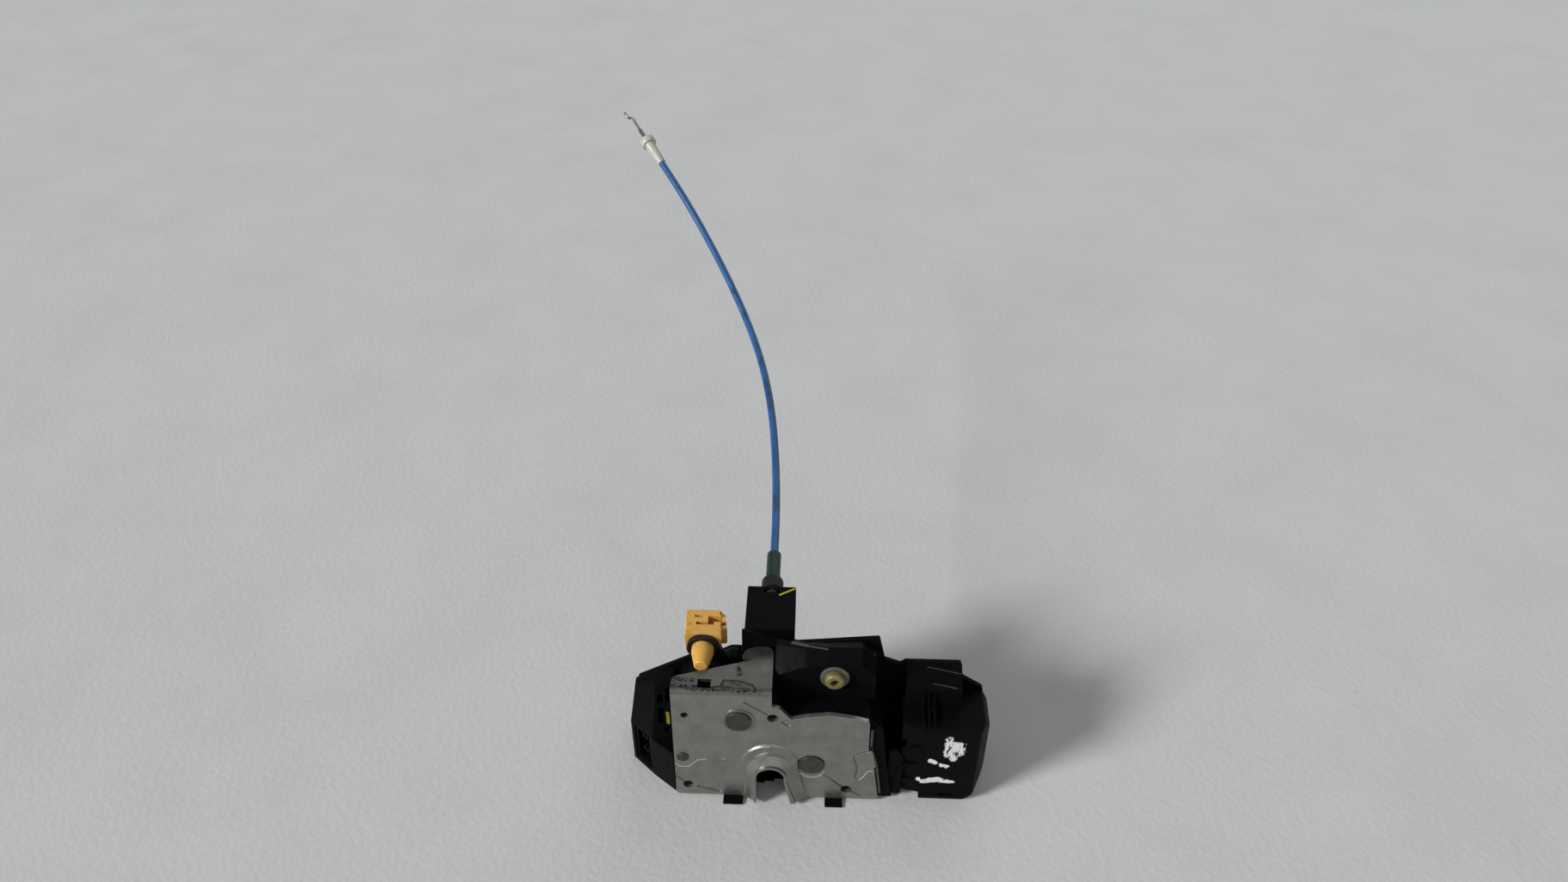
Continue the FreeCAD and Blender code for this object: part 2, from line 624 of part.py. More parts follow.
def lever_rivet():
    """Hollow rivet with a domed head, through cover, lever and housing."""
    front = COVER_FRONT - WASHER_SHEET
    shaft = rod(LEVER_AT, front, HOUSING_FRONT + HOUSING_WALL, LEVER_RIVET_RADIUS)
    head = rod(LEVER_AT, front - 3.0, front, LEVER_RIVET_HEAD)
    head = head.makeFillet(1.2, [head.Edges[i] for i in front_edges(head)])
    body = shaft.fuse(head)
    bore = rod(LEVER_AT, front - 4.0, front + 3.0, LEVER_RIVET_BORE)
    return body.cut(bore).removeSplitter()


def front_edges(shape):
    """Indices of the round edges at the shape's lowest Y."""
    low = shape.BoundBox.YMin
    return [i for i, e in enumerate(shape.Edges) if abs(e.BoundBox.YMax - low) < 1e-4]


def rivet_washer():
    disc = rod(LEVER_AT, COVER_FRONT - WASHER_SHEET, COVER_FRONT, WASHER_RADIUS)
    return disc.cut(rod(LEVER_AT, 0.0, COVER_FRONT + 1, LEVER_RIVET_RADIUS))


def outside_lever():
    """Steel lever under the flange, from its rivet to the clip's eye, with the fork for the pawl's pin."""
    low, high = LEVER_FRONT, LEVER_FRONT + LEVER_SHEET
    back = EYE_FRONT + LEVER_SHEET
    x, z = LEVER_AT
    ex, ez = CLIP_AT
    px, pz = PAWL_PIN_AT
    step = LEVER_STEP
    under = FLANGE_TOP - LEVER_UNDER_FLANGE
    play = PAWL_PIN_RADIUS + 0.9
    arm = [(x - 1.0, z + 5.8), (14.0, under + 8.4, 8.0), (3.0, under + 3.0, 4.0), (step + 2.5, under, 1.0),
           (step, under + 2.6), (step - 2.0, under + 2.6), (step - 2.0, under - 3.8),
           (-8.0, under - 5.6, 4.0), (5.0, under - 4.2, 6.0), (x, z - 5.8)]
    tail = [(step, under - 3.8, 1.0), (step, under + 3.4, 1.0), (ex + 5.0, ez + 5.0), (ex - 4.9, ez - 4.9),
            (step - 4.0, under - 3.8, 2.0)]
    fork = [(x + 5.0, z - 3.0), (x - 5.4, z - 1.0), (px - 2.5, under - 3.6, 3.0),
            (px - 3.6, pz + play + 2.2, 1.0), (px - 3.6, pz - play - 2.4, 1.2),
            (px + 10.5, pz - play - 2.4, 2.0)]
    parts = [slab("front", low, high, fork), rod(LEVER_AT, low, high, LEVER_HUB)]
    parts.append(slab("front", EYE_FRONT, back, tail))
    parts.append(box(step - 2.0, step, low, back, under - 3.8, under + 2.6))
    parts.append(rod(CLIP_AT, EYE_FRONT, back, EYE_OUTER))
    body = slab("front", low, high, arm).multiFuse(parts)
    gap = box(px - 8.0, px + 7.2, low - 1, high + 1, pz - play, pz + play)
    cuts = [gap, rod(LEVER_AT, low - 1, high + 1, LEVER_RIVET_RADIUS + RUNNING)]
    cuts.append(rod(CLIP_AT, low - 1, EYE_FRONT + 4, EYE_HOLE))
    return body.cut(Part.makeCompound(cuts)).removeSplitter()


def lever_spring():
    """Return spring round the rivet's boss, in front of the outside lever."""
    return coil(LEVER_AT, COVER_FRONT + COVER_WALL + 0.9, 2.25, 1.5, LEVER_BOSS + 1.0, 0.6)


def rod_clip():
    """Plastic rod clip: tapered nose, flange, recessed head and the snap arm on its right."""
    x, z = CLIP_AT
    eye = EYE_HOLE - RUNNING
    back = EYE_FRONT + LEVER_SHEET
    nose = Part.makeCone(NOSE_TIP_RADIUS, eye, EYE_FRONT - 2.5 - NOSE_TIP_AT, vec(x, NOSE_TIP_AT, z),
                         vec(0, 1, 0))
    nose = nose.makeFillet(1.0, [nose.Edges[i] for i in front_edges(nose)])
    neck = rod(CLIP_AT, EYE_FRONT - 2.5, back + 1, eye)
    half = CLIP_HEAD_WIDTH / 2
    flange = [(x - half - 0.4, z - 5.8, 2.0), (x - half - 1, z + 6.8, 1.0), (x + half + 1, z + 6.8, 1.0),
              (x + half + 0.4, z - 5.8, 2.0)]
    plate = slab("front", back + GAP, back + 5.0, flange)
    left = x - half - HEAD_OVERHANG
    plan = [(x - half + 1.6, back + 4.5), (left, back + 9.4, 0.6), (left, CLIP_HEAD_BACK, 0.6),
            (x + half, CLIP_HEAD_BACK, 0.6), (x + half, back + 4.5)]
    head = slab("plan", z - 5.5, z + 5.8, plan)
    body = joined(nose, neck, plate, head)
    cuts = [box(x - 3.6, x + half - 3, back + 7.2, back + 9.0, z + 3.6, z + 7),
            box(x + 1.5, x + half + 1, back + 9.0, back + 12.5, z + 1.8, z + 7),
            box(x - 4.6, x - 1.4, back + 11.6, back + 13.0, z + 4.2, z + 7),
            box(left - 1, x - half + 2.2, back + 6.6, back + 8.6, z + 2.0, z + 7),
            box(left - 1, x - half + 0.3, back + 13.2, back + 14.6, z + 2.0, z + 7),
            rod((x, z - 0.5), back + 6.0, CLIP_HEAD_BACK + 1, 2.0), arm_knuckle(ARM_KNUCKLE + RUNNING, 7.0)]
    return body.cut(Part.makeCompound(cuts)).removeSplitter()


def arm_knuckle(radius, half):
    """The snap arm's round hinge, upright beside the head's right side."""
    x, z = CLIP_AT
    return post((x + CLIP_HEAD_WIDTH / 2 + GAP, CLIP_HEAD_BACK - 1.8), z - half, z + half, radius)


def clip_arm():
    """Snap arm that hinges on the head's right side and holds the rod."""
    x, z = CLIP_AT
    side = x + CLIP_HEAD_WIDTH / 2 + GAP
    back = EYE_FRONT + LEVER_SHEET
    plan = [(side, back + 5.6), (side, CLIP_HEAD_BACK - 1.0), (side + 1.3, CLIP_HEAD_BACK - 1.0, 0.6),
            (side + 2.6, back + 6.6, 0.8), (side + 2.0, back + 5.6)]
    arm = slab("plan", z - 4.5, z + 4.6, plan)
    arm = arm.cut(box(side - 1, side + 4, back + 8.0, back + 10.0, z - 1.5, z + 6))
    return joined(arm, arm_knuckle(ARM_KNUCKLE, 4.5))


def housing_corners():
    """The front wall of the main housing, as its silhouette shows above the latch."""
    left, right = HOUSING_LEFT, HOUSING_RIGHT
    return [(left + 3.0, FLOOR), (left + 0.2, -1.2), (left + 4.5, 30.4, 2.0), (-37.1, 44.6, 2.0),
            (-20.6, 61.6, 2.0), (-11.4, 62.0, 2.0), (1.0, 59.0), (10.9, 55.8, 2.0), (46.9, 60.2, 1.0),
            (49.8, 46.9, 1.0), (57.0, 43.9, 1.0), (59.0, 45.8, 1.0), (83.8, 45.9, 1.5), (84.9, 36.9, 1.0),
            (right - 5.2, 30.0, 2.0), (right, 1.7), (right, -6.0), (right - 7.8, FLOOR, 2.0)]


def rear_corners(growth):
    g = growth
    left, right = HOUSING_LEFT + 5.4 - g, HOUSING_RIGHT - 5.8 + g
    return [(left, FLOOR + 1 - g, 2.0), (left, 4.0 + g, 3.0), (-38.0, 19.0 + g, 3.0), (-20.0, 31.0 + g, 3.0),
            (44.0, 31.0 + g, 3.0), (56.0, 20.0 + g, 3.0), (84.0, 20.0 + g, 3.0), (right, 4.0 + g, 3.0),
            (right, -8.0, 3.0), (right - 6.0, FLOOR + 1 - g, 2.0)]


def main_housing():
    """Front wall with clearance for the rod clip, and the deep tray of the locking drive behind it."""
    back = HOUSING_FRONT + HOUSING_WALL
    wall = slab("front", HOUSING_FRONT, back, housing_corners())
    tray = slab("front", back - 0.5, HOUSING_DEPTH, rear_corners(0.0))
    tray = tray.cut(slab("front", back, HOUSING_DEPTH + 1, rear_corners(-HOUSING_WALL)))
    ears = [box(CABLE_X + side - 1.25, CABLE_X + side + 1.25, back - 0.5, INSIDE_PIVOT[0] + 4.0, 29.5,
                INSIDE_PIVOT[1] + 4.0) for side in (-5.25, 5.25)]
    bosses = [rod(at, back - 0.5, HOUSING_DEPTH, 3.2) for at in SCREW_POINTS]
    ribs = [box(x, x + RIB_SHEET, back - 0.5, RIB_BACK, 30.5, top) for x, top in HOUSING_RIBS]
    spacer = rod(LEVER_AT, LEVER_FRONT + LEVER_SHEET + GAP, HOUSING_FRONT + 0.5, LEVER_BOSS)
    body = wall.multiFuse([tray, spacer] + ears + bosses + ribs)
    x, z = CLIP_AT
    left, right, low, high = DRIVE_WINDOW
    cuts = [box(x - 11.0, x + 17.0, HOUSING_FRONT - 1, 34.0, z - 9.0, z + 30.0)]
    cuts += [rod(at, HOUSING_DEPTH - 8.0, HOUSING_DEPTH + 1, 1.3) for at in SCREW_POINTS]
    cuts.append(rod(LEVER_AT, 20.0, 30.0, LEVER_RIVET_RADIUS))
    cuts.append(box(left, right, 20.0, back - 0.5, low, high))
    cuts.append(box(-13.6, FLANGE_RIGHT + 0.6, HOUSING_FRONT - 1, HOUSING_FRONT + TONGUE_POCKET,
                    FLANGE_TOP - SHEET - GAP, FLANGE_TOP + GAP))
    cuts.append(Part.makeCylinder(AXLE_RADIUS, 20.0, vec(CABLE_X - 10, INSIDE_PIVOT[0], INSIDE_PIVOT[1]),
                                  vec(1, 0, 0)))
    return body.cut(Part.makeCompound(cuts)).removeSplitter()


def block_plan():
    """Plan of the block's lower half: the plain facet beside the plate, then the socket's facet."""
    return [(-44.0, 2.4), BLOCK_CORNER, (HOUSING_LEFT, BLOCK_BACK), (HOUSING_LEFT, HOUSING_FRONT),
            (-44.0, HOUSING_FRONT)]


def connector_housing():
    """Faceted block left of the plate: plain lower facet, framed socket, leaning upper facets."""
    lower = slab("plan", FLOOR, BLOCK_RIDGE, block_plan())
    x, y = BLOCK_CORNER
    base = [(-44.0, y + 0.6)] + block_plan()[1:]
    top = [(-44.0, y + 7.6), (x + 2.4, y + 7.0), (HOUSING_LEFT + 4.6, BLOCK_BACK + 3.0),
           (HOUSING_LEFT + 4.6, HOUSING_FRONT), (-44.0, HOUSING_FRONT)]
    wires = [outline("plan", BLOCK_RIDGE, base), outline("plan", BLOCK_TOP, top)]
    upper = positive(Part.makeLoft(wires, True, True))
    slope = [(-70.0, 24.0), (-61.5, 30.5), (-44.0, 41.0), (-44.0, 50.0), (-70.0, 50.0)]
    upper = upper.cut(slab("front", 0.0, 30.0, slope))
    body = joined(lower, upper)
    frame = socket_room(2.0, -SOCKET_DEPTH + 0.8, 0.8)
    return body.cut(frame).cut(socket_room(3.4, 0.0, 1.8)).cut(slot_group())


def socket_frame():
    """Start, width and direction of the socket's facet, and its inward normal, in plan."""
    start = vec(HOUSING_LEFT, BLOCK_BACK, 0)
    along = vec(BLOCK_CORNER[0], BLOCK_CORNER[1], 0) - start
    wide = along.Length
    along.normalize()
    return start, wide, along, vec(-along.y, along.x, 0)


def socket_room(margin, deeper, wall):
    """The connector socket, or the step round its mouth: a box sunk square into the left facet."""
    corner, facet, along, inward = socket_frame()
    start = corner + along * margin
    wide = facet - 2 * margin
    depth = SOCKET_DEPTH + deeper
    corners = [start - inward * 1.0, start + along * wide - inward * 1.0,
               start + along * wide + inward * depth, start + inward * depth]
    return slab("plan", FLOOR + wall + 2.0, BLOCK_RIDGE - wall, [(p.x, p.y) for p in corners])


def slot_group():
    """Drain slots and a step in the upper facet beside the plate."""
    spots = [((-51.2, -48.9), (26.0, 30.6)), ((-51.0, -48.8), (14.8, 23.4)), ((-47.4, -45.9), (26.4, 34.0)),
             ((-48.6, -46.4), (9.6, 12.2))]
    return Part.makeCompound([box(x[0], x[1], 8.0, 21.0, z[0], z[1]) for x, z in spots])


def connector_pins():
    """Six blades on the floor of the socket, joined by their carrier strip."""
    start, facet, along, inward = socket_frame()
    middle = start + along * (facet / 2) + inward * SOCKET_DEPTH
    carrier = pin_bar(middle, along, inward, 7.0, 1.0, FLOOR + 6.0, BLOCK_RIDGE - 4.0, 0.0)
    blades = []
    for column in (-2.2, 0.0, 2.2):
        for row in (-12.0, -3.0):
            blades.append(pin_bar(middle + along * column, along, inward, 0.8, BLADE_LENGTH, row, row + 2.0,
                                  0.6 - BLADE_LENGTH))
    return joined(carrier, *blades)


def pin_bar(middle, along, inward, wide, depth, low, high, offset):
    """An upright bar in the socket's own directions, set back from the socket floor by depth."""
    a = middle - along * (wide / 2) + inward * (offset - 1.0)
    corners = [a, a + along * wide, a + along * wide + inward * depth, a + inward * depth]
    return slab("plan", low, high, [(p.x, p.y) for p in corners])


def box_plan(inset):
    """Plan of the right-hand drive case: broad upright face, then the side that leans back."""
    i = inset
    right = HOUSING_RIGHT - i
    return [(BOX_LEFT + i, 4.6 + i), (BOX_FACE_LEFT + i / 2, 2.6 + i), (BOX_FACE_LEFT + i, BOX_FRONT + i),
            (BOX_FACE_RIGHT - i / 2, BOX_FRONT + i, 1.5), (right - 2.4, 12.0), (right, 22.0),
            (right, HOUSING_FRONT + i / 2), (BOX_LEFT + i, HOUSING_FRONT + i / 2)]


def box_outline(inset):
    """Front view of the drive case: square on the left, rounded off on the right."""
    i = inset
    right = HOUSING_RIGHT - i
    return [(BOX_LEFT - 1, BOX_BOTTOM + i), (BOX_LEFT - 1, BOX_TOP - i), (right - 5.4, BOX_TOP - i, 1.5),
            (right - 2.6, 23.0), (right, 7.0), (right, -2.0), (right - 3.6, -11.0),
            (right - 11.4, BOX_BOTTOM + i, 2.0)]


def box_solid(inset):
    solid = slab("plan", BOX_BOTTOM + inset, BOX_TOP - inset, box_plan(inset))
    return solid.common(slab("front", 0.0, HOUSING_FRONT + 2, box_outline(inset)))


def drive_case():
    """Case of the locking drive: open at the rear, hood and fins on top, bridges to the latch."""
    body = box_solid(0.0).cut(box_solid(BOX_WALL))
    raised = [(14.5, BOX_TOP - 1), (15.5, 41.0, 2.0), (HOUSING_FRONT, 45.6), (HOUSING_FRONT, BOX_TOP - 1)]
    hood = slab("side", HOOD[0], HOOD[1], raised)
    fins = [slab("side", x, x + 1.0, [(2.6, BOX_TOP - 1), (4.0, BOX_TOP + 1.6), (13.0, BOX_TOP + 2.6),
                                      (14.4, 38.0), (16.5, 38.0), (16.5, BOX_TOP - 1)]) for x in FIN_LEVELS]
    bridges = [box(54.0, 59.0, 17.0, 22.0, z, z + 3.0) for z in (-6.0, 20.0)]
    lugs = [box(60.0, 66.0, 2.6, 6.0, z, z + 2.2) for z in LUG_LEVELS]
    x, y = MOTOR_AT
    cradle = box(x - 5.0, x + 5.0, y - 6.0, y + 6.0, BOX_BOTTOM + 1.0, MOTOR_BOTTOM - 1.0)
    body = body.multiFuse([hood, cradle] + fins + bridges + lugs)
    wedge = slab("front", 0.0, 9.0, [(57.0, 20.0), (68.6, 17.0), (57.0, 10.0)])
    foot_slot = box(77.0, 83.0, BOX_FRONT - 1, BOX_FRONT + 1.0, BOX_BOTTOM + 2.0, BOX_BOTTOM + 4.2)
    lower_gap = box(57.0, 67.9, 0.0, 12.0, BOX_BOTTOM - 1, BOX_BOTTOM + 3.0)
    body = body.cut(Part.makeCompound([wedge, foot_slot, lower_gap]))
    axle = post(wheel_at(), BOX_BOTTOM + BOX_WALL + 6, BOX_TOP, AXLE_RADIUS)
    return body.cut(axle).cut(case_clearance()).removeSplitter()


def case_clearance():
    """Keeps the bridges face to face with the latch case wall."""
    return slab("front", 10.0, HOUSING_FRONT, case_corners(0.0))


def wheel_at():
    """Plan place of the lock wheel, one centre distance left of the motor."""
    return MOTOR_AT[0] - GEAR_MODULE * (MOTOR_TEETH + WHEEL_TEETH) / 2, MOTOR_AT[1]


def lever_pivot():
    """Plan place of the locking lever, in mesh with the small pinion of the lock wheel."""
    x, y = wheel_at()
    return x + GEAR_MODULE * (SMALL_TEETH + SECTOR_TEETH) / 2, y


def flank_angle(teeth, radius, backlash):
    """Half the tooth's angle at a radius, from the involute of its base circle."""
    pitch = GEAR_MODULE * teeth / 2
    base = pitch * math.cos(PRESSURE)
    lean = math.acos(min(1.0, base / max(radius, base)))
    involute = math.tan(PRESSURE) - PRESSURE - (math.tan(lean) - lean)
    return math.pi / (2 * teeth) - backlash / pitch + involute


def gear_face(centre, teeth, level, first, count, start, addendum):
    """Involute teeth on a disc or, with fewer than all teeth, on a sector that ends at its hub."""
    pitch = GEAR_MODULE * teeth / 2
    root = pitch - 1.25 * GEAR_MODULE
    tip = pitch + addendum * GEAR_MODULE
    radii = [root, pitch - 0.3 * GEAR_MODULE, pitch + 0.35 * GEAR_MODULE, tip]
    points = []
    for tooth in range(first, first + count):
        middle = start + 2 * math.pi * tooth / teeth
        sides = [(r, -flank_angle(teeth, r, 0.07)) for r in radii]
        sides += [(r, flank_angle(teeth, r, 0.07)) for r in reversed(radii)]
        points += [(r * math.cos(middle + a), r * math.sin(middle + a)) for r, a in sides]
    if count < teeth:
        points.append((0.0, 0.0))
    spots = [vec(centre[0] + x, centre[1] + y, level) for x, y in points + points[:1]]
    return Part.Face(Part.makePolygon(spots))


def gear(centre, teeth, low, high, start, addendum=0.9):
    return positive(gear_face(centre, teeth, low, 0, teeth, start, addendum).extrude(vec(0, 0, high - low)))


def motor_can():
    """Flat-sided motor with its shaft bearing boss."""
    x, y = MOTOR_AT
    can = post(MOTOR_AT, MOTOR_BOTTOM + 3.0, MOTOR_TOP, MOTOR_RADIUS)
    can = can.common(box(x - MOTOR_HALF, x + MOTOR_HALF, y - 20, y + 20, -30, 30))
    boss = post(MOTOR_AT, MOTOR_TOP - 0.5, MOTOR_TOP + 1.2, 3.0)
    return joined(can, boss).cut(post(MOTOR_AT, -5, 20, 1.0 + RUNNING))


def motor_end_cap():
    x, y = MOTOR_AT
    cap = post(MOTOR_AT, MOTOR_BOTTOM - 1.0, MOTOR_BOTTOM + 3.0, MOTOR_RADIUS - 0.3)
    return cap.common(box(x - MOTOR_HALF + 0.3, x + MOTOR_HALF - 0.3, y - 20, y + 20, -30, 30))


def motor_pinion():
    """Pinion on the motor's shaft; a tooth points at the lock wheel."""
    teeth = gear(MOTOR_AT, MOTOR_TEETH, WHEEL_LOW - 0.4, WHEEL_HIGH + 0.4, math.pi)
    return joined(teeth, post(MOTOR_AT, 0.0, WHEEL_HIGH + 0.4, 1.0))


def lock_wheel():
    """Large wheel driven by the motor, with the small pinion on top that moves the locking lever."""
    at = wheel_at()
    large = gear(at, WHEEL_TEETH, WHEEL_LOW, WHEEL_HIGH, math.pi / WHEEL_TEETH)
    small = gear(at, SMALL_TEETH, WHEEL_HIGH - 0.5, SMALL_HIGH, math.pi / SMALL_TEETH)
    return joined(large, small).cut(post(at, 0, 30, AXLE_RADIUS + RUNNING))


def wheel_axle():
    return post(wheel_at(), BOX_BOTTOM + BOX_WALL + 6, BOX_TOP, AXLE_RADIUS)


def locking_lever():
    """Toothed sector with the arm that reaches back into the housing."""
    at = lever_pivot()
    low, high = WHEEL_HIGH + 0.8, SMALL_HIGH - 0.4
    face = gear_face(at, SECTOR_TEETH, low, -1, SECTOR_COUNT, math.pi, 0.9)
    sector_solid = positive(face.extrude(vec(0, 0, high - low)))
    hub = post(at, low, high, 3.2)
    tip = HOUSING_FRONT
    arm = slab("plan", low, high, [(at[0] - 2.4, at[1]), (at[0] + 2.4, at[1]), (at[0] - 1.6, tip, 1.5),
                                   (at[0] - 5.4, tip, 1.5)])
    return joined(sector_solid, hub, arm).cut(post(at, 0, 30, AXLE_RADIUS + RUNNING))


def lever_post():
    """Post for the locking lever, standing down from the top of the drive case."""
    at = lever_pivot()
    column = post(at, SMALL_HIGH, BOX_TOP - BOX_WALL, 2.6)
    return joined(column, post(at, WHEEL_HIGH + 0.5, SMALL_HIGH, AXLE_RADIUS))


def cable_bracket():
    """Channel that runs back under its flat top and holds the cable's end in a notched wall."""
    front = HOUSING_FRONT + HOUSING_WALL
    left, right = CABLE_X - BRACKET_HALF, CABLE_X + BRACKET_HALF
    body = box(left, right, front, BRACKET_BACK, BRACKET_FOOT, BRACKET_TOP)
    room = box(left + BRACKET_WALL, right - BRACKET_WALL, front + BRACKET_FRONT, BRACKET_BACK - BRACKET_WALL,
               BRACKET_FOOT - 1, BRACKET_TOP - BRACKET_WALL)
    ear_room = box(left + BRACKET_WALL, right - BRACKET_WALL, front - 1, front + 2 * BRACKET_FRONT,
                   BRACKET_FOOT - 1, INSIDE_PIVOT[1] + 4.0 + GAP)
    notch = box(CABLE_X - FERRULE_COLLAR, CABLE_X + FERRULE_COLLAR, BRACKET_BACK - 3.5, BRACKET_BACK + 1,
                CABLE_Z, BRACKET_TOP + 1)
    seat = rod((CABLE_X, CABLE_Z), BRACKET_BACK - 3.0, BRACKET_BACK + 1, FERRULE_COLLAR)
    inner = BRACKET_BACK - BRACKET_WALL
    lip_room = box(CABLE_X - FERRULE_COLLAR - 1.2, CABLE_X + FERRULE_COLLAR + 1.2, inner - 1.7, inner,
                   CABLE_Z, BRACKET_TOP + 1)
    return body.cut(Part.makeCompound([room, ear_room, notch, seat, lip_room])).removeSplitter()


def cable_grommet():
    start = BRACKET_BACK
    ring = rod((CABLE_X, CABLE_Z), start, start + GROMMET_LENGTH, GROMMET_RADIUS)
    top = ring.BoundBox.YMax
    edges = [e for e in ring.Edges if abs(e.BoundBox.YMin - top) < 1e-4]
    ring = ring.makeFillet(1.6, edges)
    return ring.cut(rod((CABLE_X, CABLE_Z), start - 1, start + 20, FERRULE_COLLAR))


def cable_ferrule():
    """Collar in the bracket's notch, neck through the grommet, and the long barrel."""
    at = (CABLE_X, CABLE_Z)
    start = BRACKET_BACK + GROMMET_LENGTH
    lip = rod(at, BRACKET_BACK - BRACKET_WALL - 1.2, BRACKET_BACK - BRACKET_WALL, FERRULE_COLLAR + 1.0)
    neck = rod(at, BRACKET_BACK - BRACKET_WALL, start, FERRULE_COLLAR)
    barrel = rod(at, start, FERRULE_END, FERRULE_RADIUS)
    end = barrel.BoundBox.YMax
    barrel = barrel.makeChamfer(0.9, [e for e in barrel.Edges if abs(e.BoundBox.YMin - end) < 1e-4])
    body = joined(lip, neck, barrel)
    return body.cut(rod(at, 40.0, FERRULE_END + 1, FERRULE_BORE))


def route_wire(points):
    """Straight runs joined by tangent arcs as large as the runs allow; prints each radius."""
    spots = [vec(*p) for p in points]
    edges, radii = [], []
    here = spots[0]
    for before, corner, after in zip(spots, spots[1:], spots[2:]):
        back = (before - corner).normalize()
        ahead = (after - corner).normalize()
        half = back.getAngle(ahead) / 2
        cut = 0.45 * min((before - corner).Length, (after - corner).Length)
        radius = cut * math.tan(half)
        inward = (back + ahead).normalize()
        middle = corner + inward * (radius / math.sin(half) - radius)
        start, end = corner + back * cut, corner + ahead * cut
        edges.append(Part.LineSegment(here, start).toShape())
        edges.append(Part.Arc(start, middle, end).toShape())
        radii.append(round(radius, 1))
        here = end
    edges.append(Part.LineSegment(here, spots[-1]).toShape())
    return Part.Wire(edges), radii


def cable_sheath():
    path, radii = route_wire(CABLE_ROUTE)
    start = vec(*CABLE_ROUTE[0])
    along = vec(*CABLE_ROUTE[1]) - start
    ring = Part.Wire(Part.makeCircle(SHEATH_RADIUS, start, along))
    tube = positive(path.makePipeShell([ring], True, False))
    expected = math.pi * SHEATH_RADIUS ** 2 * path.Length
    print("sheath length %.1f, radii %s, volume %.0f of %.0f" % (path.Length, radii, tube.Volume, expected))
    return tube


def cable_end():
    """The last point of the sheath and the direction in which it ends."""
    last, before = vec(*CABLE_ROUTE[-1]), vec(*CABLE_ROUTE[-2])
    return last, (last - before).normalize()


def cable_end_sleeve():
    """Nylon sleeve on the free end: flange first, then the long body."""
    last, along = cable_end()
    flange = Part.makeCylinder(SLEEVE_FLANGE, 4.0, last, along)
    body = Part.makeCylinder(SLEEVE_RADIUS, SLEEVE_LENGTH, last, along)
    bore = Part.makeCylinder(CRIMP_RADIUS + 0.1, SLEEVE_LENGTH, last + along * 1.0, along)
    return joined(flange, body).cut(bore)


def cable_end_fitting():
    """Crimped rod that slides in the sleeve, with the bent end that hooks into the inside handle."""
    last, along = cable_end()
    side = along.cross(vec(0, 0, 1)).normalize()
    start = last + along * 12.0
    crimp = Part.makeCylinder(CRIMP_RADIUS, SLEEVE_LENGTH - 12.0 + 8.0, start, along)
    root = start + along * (SLEEVE_LENGTH - 5.0)
    tip = root + along * END_WIRE_REACH
    bend = tip + side * (-END_WIRE_BEND) + along * 1.0
    path = Part.makePolygon([root, tip, bend, bend + along * 3.5])
    ring = Part.Wire(Part.makeCircle(WIRE_RADIUS + 0.1, root, along))
    wire = positive(path.makePipeShell([ring], True, False, 1))
    return joined(crimp, wire)


def inner_wire():
    """The pull wire between the ferrule and the inside lever, with its cross barrel."""
    x, z = CABLE_X, CABLE_Z
    start = barrel_depth()
    wire = Part.makeCylinder(WIRE_RADIUS, 60.0 - start, vec(x, start, z), vec(0, 1, 0))
    barrel = Part.makeCylinder(BARREL_RADIUS, 6.6, vec(x - 3.3, start, z), vec(1, 0, 0))
    return joined(wire, barrel)


def barrel_depth():
    return INSIDE_PIVOT[0] - INSIDE_ARM * math.sin(math.radians(INSIDE_TILT))


def inside_lever():
    """Forked lever on a cross pin: the cable's barrel lies in its open slot."""
    y, z = INSIDE_PIVOT
    reach = INSIDE_ARM + 1.2
    play = BARREL_RADIUS + 0.5
    profile = [(y - 3.6, z + 2.0), (y - 3.3, z + reach, 0.8), (y + 3.3, z + reach, 0.8), (y + 3.6, z + 2.0),
               (y + 3.0, z - 3.8, 2.0), (y - 3.0, z - 3.8, 2.0)]
    body = slab("side", CABLE_X - 3.6, CABLE_X + 3.6, profile)
    slot = box(CABLE_X - 5, CABLE_X + 5, y - play, y + play, z + INSIDE_ARM - 3.4, z + reach + 1)
    groove = box(CABLE_X - 1.1, CABLE_X + 1.1, y - 8, y + 8, z + 6.0, z + reach + 1)
    bore = Part.makeCylinder(AXLE_RADIUS + RUNNING, 20.0, vec(CABLE_X - 10, y, z), vec(1, 0, 0))
    body = body.cut(slot).cut(groove).cut(bore)
    body.rotate(vec(0, y, z), vec(1, 0, 0), INSIDE_TILT)
    return body


def inside_lever_pin():
    y, z = INSIDE_PIVOT
    return Part.makeCylinder(AXLE_RADIUS, 13.0, vec(CABLE_X - 6.5, y, z), vec(1, 0, 0))


def cover_seal():
    outer = slab("front", HOUSING_DEPTH, HOUSING_DEPTH + SEAL_THICK, rear_corners(0.0))
    return outer.cut(slab("front", HOUSING_DEPTH - 1, HOUSING_DEPTH + 2, rear_corners(-HOUSING_WALL)))


